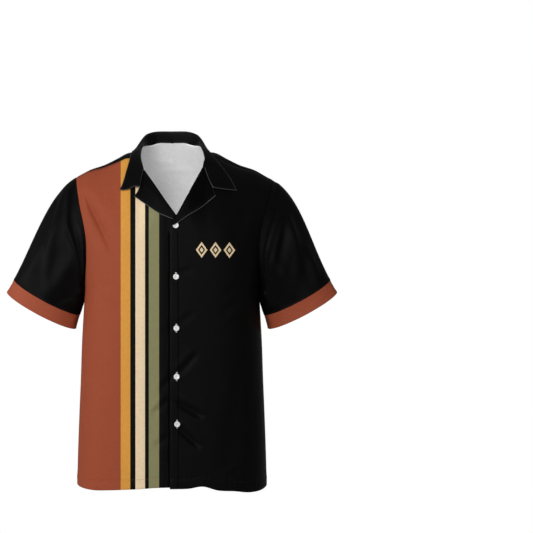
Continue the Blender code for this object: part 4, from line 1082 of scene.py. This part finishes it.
def spun(name, deep, pale):
    """Spun thread: its plies are a noise of 0.4 mm that changes tone, roughness and height together."""
    def recipe(tree):
        ply = add(tree, "TexNoise", {"Vector": add(tree, "TexCoord", {}, "Object"), "Scale": 2600.0})
        return {"Base Color": add(tree, "Mix", {0: ply, 6: colour(deep), 7: colour(pale)}, 2,
                                  data_type="RGBA"),
                "Roughness": add(tree, "MapRange", {0: ply, 3: 0.65, 4: 0.75}),
                "Normal": add(tree, "Bump", {"Strength": 0.5, "Distance": 0.0001, "Height": ply}),
                "Sheen Weight": 0.05, "Specular IOR Level": 0.2}
    return surface(name, recipe)


def board(tree):
    """A pale painted board, flat and faintly mottled, which glows a little so that it stays pale."""
    mottle = add(tree, "TexNoise", {"Vector": add(tree, "TexCoord", {}, "Object"), "Scale": 14.0})
    return {"Base Color": add(tree, "Mix", {0: mottle, 6: colour("#f6f6f5"), 7: colour("#fbfbfa")}, 2,
                              data_type="RGBA"),
            "Roughness": 0.9, "Emission Strength": 0.12}


# ---------------------------------------------------------------- sewing
def spaced(lines, pitch):
    """Values that belong to a path's points, the points first, read at even steps of pitch along it."""
    run = run_of(lines[0], 0)
    count = max(int(run[-1] / pitch), 1)
    at = (np.arange(count) + 0.5) * run[-1] / count
    return [np.stack([np.interp(at, run, line[:, k]) for k in range(3)], -1) for line in lines]


def stitch_mesh(name, paths, length=0.0021, pitch=0.0030, radius=0.00022, sink=0.3):
    """Stitches along paths of (points, normals): each is a six-sided spindle of five rings along its
    path, whose radius follows a half sine and whose middle lies highest."""
    ends = np.linspace(-0.5, 0.5, 5)
    ring = np.arange(6) * math.pi / 3
    fat = np.array((0.45, 0.9, 1.0, 0.9, 0.45)) * radius
    points = []
    for path, normal in paths:
        at, lift, way = spaced((path, normal, np.gradient(path, axis=0)), pitch)
        lift, way = unit(lift), unit(way)
        side = np.cross(way, lift)
        middle = (at[:, None] + way[:, None] * (ends * length)[:, None]
                  + lift[:, None] * (radius * (1 - sink) * np.cos(ends * math.pi))[:, None])
        turned = side[:, None, None] * np.cos(ring)[:, None] + lift[:, None, None] * np.sin(ring)[:, None]
        points.append((middle[:, :, None] + turned * fat[:, None, None]).reshape(-1, 3))
    points = np.concatenate(points)
    first = np.arange(0, len(points), 30)[:, None]
    walls = (walls_of(5, 6) + first[:, :, None]).reshape(-1, 4)
    caps = np.concatenate([first + np.arange(6), first + 29 - np.arange(6)])
    mesh = bpy.data.meshes.new(name)
    mesh.from_pydata(points.tolist(), [], walls.tolist() + caps.tolist())
    mesh.shade_smooth()
    return mesh


def inset(points, normals, axis, distance, out=0.0):
    """A path a set distance in from a grid's last row (axis 0) or last column (axis 1), read off between
    the two lines of the grid that lie on either side of it, and lifted by out."""
    if axis == 1:
        points, normals = points.swapaxes(0, 1), normals.swapaxes(0, 1)
    back = run_of(points[::-1], 0)
    k = np.clip((back < distance).sum(0) - 1, 0, len(points) - 2)
    j = np.arange(points.shape[1])
    share = ((distance - back[k, j]) / (back[k + 1, j] - back[k, j]))[:, None]
    a, b = points[::-1][k, j], points[::-1][k + 1, j]
    na, nb = normals[::-1][k, j], normals[::-1][k + 1, j]
    return a + (b - a) * share + na * out, na + (nb - na) * share


# ---------------------------------------------------------------- buttons
# A button's outline from its dish round the rim to its back, in shares of its radius and height.
BUTTON_OUTLINE = np.array([
    (0, 0.60), (0.50, 0.60), (0.60, 0.68), (0.68, 0.86), (0.76, 0.97), (0.84, 1.0), (0.92, 0.95),
    (0.98, 0.80), (1.0, 0.6), (0.99, 0.38), (0.93, 0.16), (0.84, 0.03), (0.76, 0.0), (0, 0)])
BUTTON_SIDES, HOLE_SIDES = 40, 12


def turned_button():
    """A button's solid, made by turning its outline: a flat back, a round rim and a dished face."""
    sides = BUTTON_SIDES
    outline = BUTTON_OUTLINE * (BUTTON_RADIUS, BUTTON_HEIGHT)
    angle = np.arange(sides) * 2 * math.pi / sides
    ring = np.stack([outline[1:-1, 0, None] * np.cos(angle), outline[1:-1, 0, None] * np.sin(angle),
                     np.repeat(outline[1:-1, 1, None], sides, 1)], -1)
    points = np.concatenate([[(0, 0, outline[0, 1]), (0, 0, outline[-1, 1])], ring.reshape(-1, 3)])
    k = np.arange(sides)
    after, last = (k + 1) % sides, 2 + (len(ring) - 1) * sides
    face, base = np.stack([0 * k, 2 + k, 2 + after], -1), np.stack([0 * k + 1, last + after, last + k], -1)
    mesh = bpy.data.meshes.new("button")
    mesh.from_pydata(points.tolist(), [], np.concatenate([face, base]).tolist()
                     + walls_of(len(ring), sides, 2).tolist())
    return mesh


def pierced_button():
    """The button with its four sewing holes cut through by a drill of four rods."""
    sides = HOLE_SIDES
    angle = np.arange(sides) * 2 * math.pi / sides
    ring = np.stack([np.cos(angle), np.sin(angle)], -1) * HOLE_RADIUS
    middle = np.array([(-1, -1), (-1, 1), (1, -1), (1, 1)]) * HOLE_OUT
    flat = np.broadcast_to((middle[:, None] + ring)[:, None], (4, 2, sides, 2))
    level = np.broadcast_to(np.array((-0.001, 0.004))[:, None, None], (4, 2, sides, 1))
    points = np.concatenate([flat, level], -1).reshape(-1, 3)
    first, k = np.arange(0, len(points), 2 * sides)[:, None], np.arange(sides)
    walls = (walls_of(2, sides)[:, [0, 3, 2, 1]] + first[:, :, None]).reshape(-1, 4)
    rods = bpy.data.meshes.new("drill")
    rods.from_pydata(points.tolist(), [], walls.tolist() + (first + k[::-1]).tolist()
                     + (first + sides + k).tolist())
    body, drill = linked("button", turned_button()), linked("drill", rods)
    cut = body.modifiers.new("holes", "BOOLEAN")
    cut.operation, cut.object, cut.solver = "DIFFERENCE", drill, "EXACT"
    bpy.context.view_layer.update()
    done = bpy.data.meshes.new_from_object(body.evaluated_get(bpy.context.evaluated_depsgraph_get()))
    for obj in (body, drill):
        bpy.data.objects.remove(obj, do_unlink=True)
    done.shade_smooth()
    done.set_sharp_from_angle(angle=math.radians(50))
    return done


def seat(x, z, lift):
    """How a piece lies flat on the left front at x and z: its directions across, up the shirt and out, and
    its place."""
    q = q_of_height(np.array(x), np.array(z))
    normal = Vector(outward(np.array(x), q))
    at = Vector(lifted(np.array(x), q, lift))
    right = Vector((1, 0, 0)) - normal * normal.x
    right.normalize()
    up = normal.cross(right)
    return right, up, normal, at


def placed(points, x, z, lift):
    """Flat points (across, up, out) carried onto the left front."""
    right, up, normal, at = (np.array(v) for v in seat(x, z, lift))
    return at + points[..., :1] * right + points[..., 1:2] * up + points[..., 2:3] * normal


def bar(x, z, across, low, high, count, lift):
    """A straight path on the left front beside x and z, from low to high, with its normals."""
    y = np.linspace(low, high, count)
    line = np.stack([0 * y + across, y, 0 * y], -1)
    return placed(line, x, z, lift), np.array(seat(x, z, 0)[2]) + 0 * line


# ---------------------------------------------------------------- the finishes
# Piece-dyed polyester in a plain weave: near black, with a low soft gloss on the crests of its folds.
black_cloth = cloth("black_polyester_woven", INK["black"])
# The same cloth over an interlining: flatter and a little glossier, with a painted highlight, a paler line
# along its folded edges where they would catch the light. On the lapels the facing shows, which is a shade
# deeper, with the same painted highlight along its edges.
collar_cloth = cloth("black_polyester_interlined", INK["black"], 0.48, crumple=0.00018, line="#4c4848")
lapel_cloth = cloth("black_polyester_faced", "#040404", 0.5, crumple=0.0003, line="#5e5a59")
# Dye-printed polyester: the stripes are in the cloth and stay matt, with the weave running through them.
# Along the placket's edge and its stitch line a dark line of painted shade stands for the groove's shadow,
# and the cloth there is rougher, without its gloss.
right_cloth = cloth("striped_polyester_dye_printed", stripes, 0.55, 0.06, line="#020202", reach=0.0042,
                    matt=0.95)
left_cloth = cloth("black_polyester_chest_printed", chest_print, line="#020202", reach=0.0019, matt=0.72)
back_cloth = cloth("black_polyester_back_printed", back_print)
# Rust polyester, folded double: matt and warm, smoother than the body because it is pressed.
rust_cloth = cloth("rust_polyester_woven", "#9f4f36", 0.58, 0.10, 0.02, crumple=0.00018)
# The print doesn't go through: the reverse is undyed, chalky white and quite matt.
reverse = cloth("undyed_polyester_reverse", "#f6f6f6", 0.68, 0.08)
# Cast polyester resin, turned and tumbled: milky white with a clean soft highlight.
button_resin = resin("button_polyester_resin_cast", "#eae9e6", "#f2f1ef")
# Spun polyester thread: dull and slightly hairy, a shade paler than the cloth it holds.
black_thread = spun("black_polyester_thread_spun", "#0d0c0c", "#161415")
rust_thread = spun("rust_polyester_thread_spun", "#7f3a29", "#93482f")
white_thread = spun("white_polyester_thread_spun", "#cfcdc9", "#e2e0dc")

# ---------------------------------------------------------------- the shirt
fronts = {side: front_panel(side) for side in WORDS}
back = back_panel()
back_column = {-1: 0, 1: -1}
# The seams' gaps: both edges of a side seam stand half of one off it, and a front's top a whole one ahead.
for side in WORDS:
    fronts[side][:ARM_START + 1, -1, 1] = -SEAM / 2
    fronts[side][-1, :, 1] -= SEAM
    back[:ARM_START + 1, back_column[side], 1] = SEAM / 2
edges = {side: (fronts[side][:, -1].copy(), back[:, back_column[side]].copy()) for side in WORDS}
loops = {side: armhole_loop(side, fronts[side], edges[side][1]) for side in WORDS}
fronts = {side: sewn(points, side, "front") for side, points in fronts.items()}
back = sewn(back, 1, "back")
back_out = -normals_of(back)
back_grid = back.copy()
back_inward = {}
threads = {"black": [], "rust": []}
hem_row = int(np.argmin(np.abs(np.array(NEAR_HEM) - HEM_TURN)))
placket_column = int(np.argmin(np.abs(np.array(NEAR_PLACKET) + PLACKET_EDGE - PLACKET_STITCH)))
placket_rows = slice(4, ARM_START + 18)    # the rows that its stitch line runs along

for side, word in WORDS.items():
    # a sleeve, with the armhole's allowances, which the front and the back share
    loop = loops[side]
    shares = round_shares(loop)
    sleeve, end, axis = sleeve_points(side, loop, shares)
    sleeve_out = normals_of(sleeve, True) * side
    start_out = sleeve_out[0]
    front, front_out = fronts[side], normals_of(fronts[side]) * side
    half = len(loop) // 2
    front_in = seam_inward(side, front_out[:, -1], start_out[:half + 1][::-1])
    up_the_back = np.concatenate([start_out[half:], start_out[:1]])
    back_in = back_inward[side] = seam_inward(side, back_out[:, back_column[side]], up_the_back)
    around_in = np.concatenate([front_in[ARM_START:][::-1], back_in[ARM_START + 1:-1]])
    front[:, -1] = edges[side][0] + front_in * SEAM_DIP
    back_grid[:, back_column[side]] = edges[side][1] + back_in * SEAM_DIP
    sleeve[0] = loop + around_in * SEAM_DIP
    closed, closed_out = (np.concatenate([g, g[:, :1]], 1) for g in (sleeve, sleeve_out))
    threads["black"].append(inset(closed, closed_out, 0, STITCH_IN["armhole"]))
    panel(f"sleeve_{word}", [turned_in(sleeve, around_in, 0, True)], black_cloth, inside=reverse, wrap=True,
          flip=side < 0)
    panel(f"sleeve_band_{word}", [band_points(side, end, axis, shares)], rust_cloth, "rust_polyester",
          wall=BAND_WALL, wrap=True, flip=side < 0)

    # a front, sewn with rust thread where its hem is rust
    grid = turned_in(turned_in(front, front_in, 1), shoulder_inward(front[-1], (0, 1)), 0)
    finish, slot = (right_cloth, "printed_polyester") if side < 0 else (left_cloth, "black_polyester")
    # rims: distance from the placket line, along which the front's material paints a dark line of shade
    panel(f"front_{word}", [grid], finish, slot, reverse, dyed=True, flip=side < 0,
          rims=[placket_shade_distance(grid, side)])
    rusty = front[hem_row, :, 0] < RUST_EDGE
    if side < 0:
        threads["rust"].append((front[hem_row, rusty], front_out[hem_row, rusty]))
    else:
        threads["black"].append(tuple(g[placket_rows, placket_column] for g in (front, front_out)))
    threads["black"].append((front[hem_row, ~rusty], front_out[hem_row, ~rusty]))

    lapel = lapel_points(side)
    panel(f"lapel_{word}", [lapel], lapel_cloth, wall=COLLAR_WALL, offset=1.0, flip=side < 0,
          rims=[rim_of(lapel)])
    threads["black"].append(inset(lapel, normals_of(lapel) * side, 0, STITCH_IN["lapel"], COLLAR_WALL))

top_in = shoulder_inward(back_grid[-1], (1, 1))
corner = BACK_CELLS + len(FAR_SEAM) - 1            # columns from the back's side to the neck's corner
covered = corner + len(ALLOWANCE) + 1              # and to where the collar covers the back's neck edge
top_in[covered:-covered] *= 0.1
grid = turned_in(turned_in(back_grid, back_inward[1], 1), back_inward[-1], 1, True)
panel("back", [turned_in(grid, top_in, 0)], back_cloth, inside=reverse, dyed=True, flip=True)
threads["black"].append((back[hem_row], back_out[hem_row]))
path, lift = inset(back, back_out, 0, STITCH_IN["shoulder"])
threads["black"] += [(path[:corner], lift[:corner]), (path[-corner:], lift[-corner:])]

stand, leaf = collar_points()
# the roll takes the painted highlight of a folded edge too, about half as wide as the others, from the gorge
# down
open_fold = 2.2 * run_of(leaf, 0) + 0.01 * (1 - ease((np.abs(SECTIONS_ACROSS) - 7.2) / 0.8))
leaf_rim = np.minimum(rim_of(leaf, True), open_fold)
panel("collar", [stand, leaf], collar_cloth, wall=COLLAR_WALL, offset=1.0,
      rims=[np.ones(stand.shape[:2]), leaf_rim])
leaf_out = normals_of(leaf)
threads["black"].append(inset(leaf, leaf_out, 0, STITCH_IN["collar"], COLLAR_WALL))
for way in (1, -1):
    threads["black"].append(inset(leaf[3:-3, ::way], leaf_out[3:-3, ::way], 1, STITCH_IN["collar"],
                                  COLLAR_WALL))

piece("stitching_black", stitch_mesh("stitching_black", threads["black"]), black_thread)
piece("stitching_rust", stitch_mesh("stitching_rust", threads["rust"]), rust_thread)

blank = pierced_button()
flat = positions(blank)
hole_paths, sew_paths = [], []
for number, (x, z, below, above) in enumerate(BUTTONS, 1):
    mesh = blank.copy()
    mesh.vertices.foreach_set("co", placed(flat, x, z, BUTTON_LIFT).astype(np.float32).ravel())
    mesh.update()
    piece(f"button_{number}_resin", mesh, button_resin, [f"button_{number}"])
    for way in (-1, 1):
        sew_paths.append(bar(x, z, way * HOLE_OUT, -HOLE_OUT, HOLE_OUT, 6, SEWING_LIFT))
        if above:
            hole_paths.append(bar(x, z, way * BAR_OUT, -below, above, 24, BAR_LIFT))
bars = stitch_mesh("buttonholes", hole_paths, length=0.0012, pitch=0.0009, radius=0.0006)
piece("buttonholes_thread", bars, white_thread)
sewing = stitch_mesh("button_thread", sew_paths, length=0.0026, pitch=0.0023, radius=0.00035)
piece("button_thread", sewing, white_thread)

# ---------------------------------------------------------------- stage, camera and light
PIXEL = 0.00216        # metres across one pixel of the 533-pixel frame, at the shirt's own plane
FRAME = 533
DISTANCE = 3.0
EYE_HEIGHT = -0.35
SHIRT_PIXEL = (172.0, 313.1)     # where x = 0 and the eye's height fall in the frame
SENSOR = 36.0          # width of the camera's sensor in mm
FLOOR_RADIUS, FLOOR_HEIGHT, FLOOR_SIDES = 0.9, -1.0, 96
GLOW, SHOWN = 0.22, 0.78         # the sky's strength as light, and what is added to it where it is seen

angle = np.arange(FLOOR_SIDES) * 2 * math.pi / FLOOR_SIDES
rim = np.stack([FLOOR_RADIUS * np.cos(angle), FLOOR_RADIUS * np.sin(angle), 0 * angle + FLOOR_HEIGHT], -1)
floor_mesh = bpy.data.meshes.new("floor")
floor_mesh.from_pydata(rim.tolist(), [], [list(range(FLOOR_SIDES))])
floor_mesh.materials.append(surface("pale_painted_board", board))
floor = linked("floor", floor_mesh)

world = bpy.data.worlds.new("studio")
world.use_nodes = True
bpy.context.scene.world = world
tree = world.node_tree
seen = add(tree, "LightPath", {}, "Is Camera Ray")
strength = add(tree, "Math", {0: seen, 1: SHOWN, 2: GLOW}, operation="MULTIPLY_ADD")
feed(tree, tree.nodes["Background"], {"Color": (1, 1, 1, 1), "Strength": strength})


def soft_light(name, place, aim, size, power, spread=180):
    """A square area light at place, turned to aim, whose light fans out by spread degrees."""
    lamp = bpy.data.lights.new(name, "AREA")
    lamp.size = size
    lamp.energy = power
    lamp.spread = math.radians(spread)
    obj = linked(name, lamp)
    obj.location = place
    obj.rotation_euler = (Vector(aim) - Vector(place)).to_track_quat("-Z", "Y").to_euler()


soft_light("key", (-1.3, -3.1, 0.8), (0, 0, 0), 1.8, 7.0, 50)
soft_light("fill", (1.4, -3.2, 0.3), (0, 0, 0), 1.4, 1.6, 50)
soft_light("side", (-2.9, -0.9, 0.3), (0, 0, -0.3), 1.4, 36)
soft_light("behind", (0.5, 3.4, 0.1), (0, 0, -0.35), 1.2, 40)
soft_light("neck", (-0.03, -0.03, 0.3), (-0.012, 0.05, 0), 0.1, 0.125, 42)
bpy.context.scene.view_settings.view_transform = "Standard"

lens = bpy.data.cameras.new("camera")
lens.sensor_width = SENSOR
lens.lens = SENSOR * DISTANCE / (FRAME * PIXEL)
lens.shift_x = (FRAME / 2 - SHIRT_PIXEL[0]) / FRAME
lens.shift_y = (SHIRT_PIXEL[1] - FRAME / 2) / FRAME
camera = linked("camera", lens)
camera.location = (0, -DISTANCE, EYE_HEIGHT)
camera.rotation_euler = (math.radians(90), 0, 0)
bpy.context.scene.camera = camera
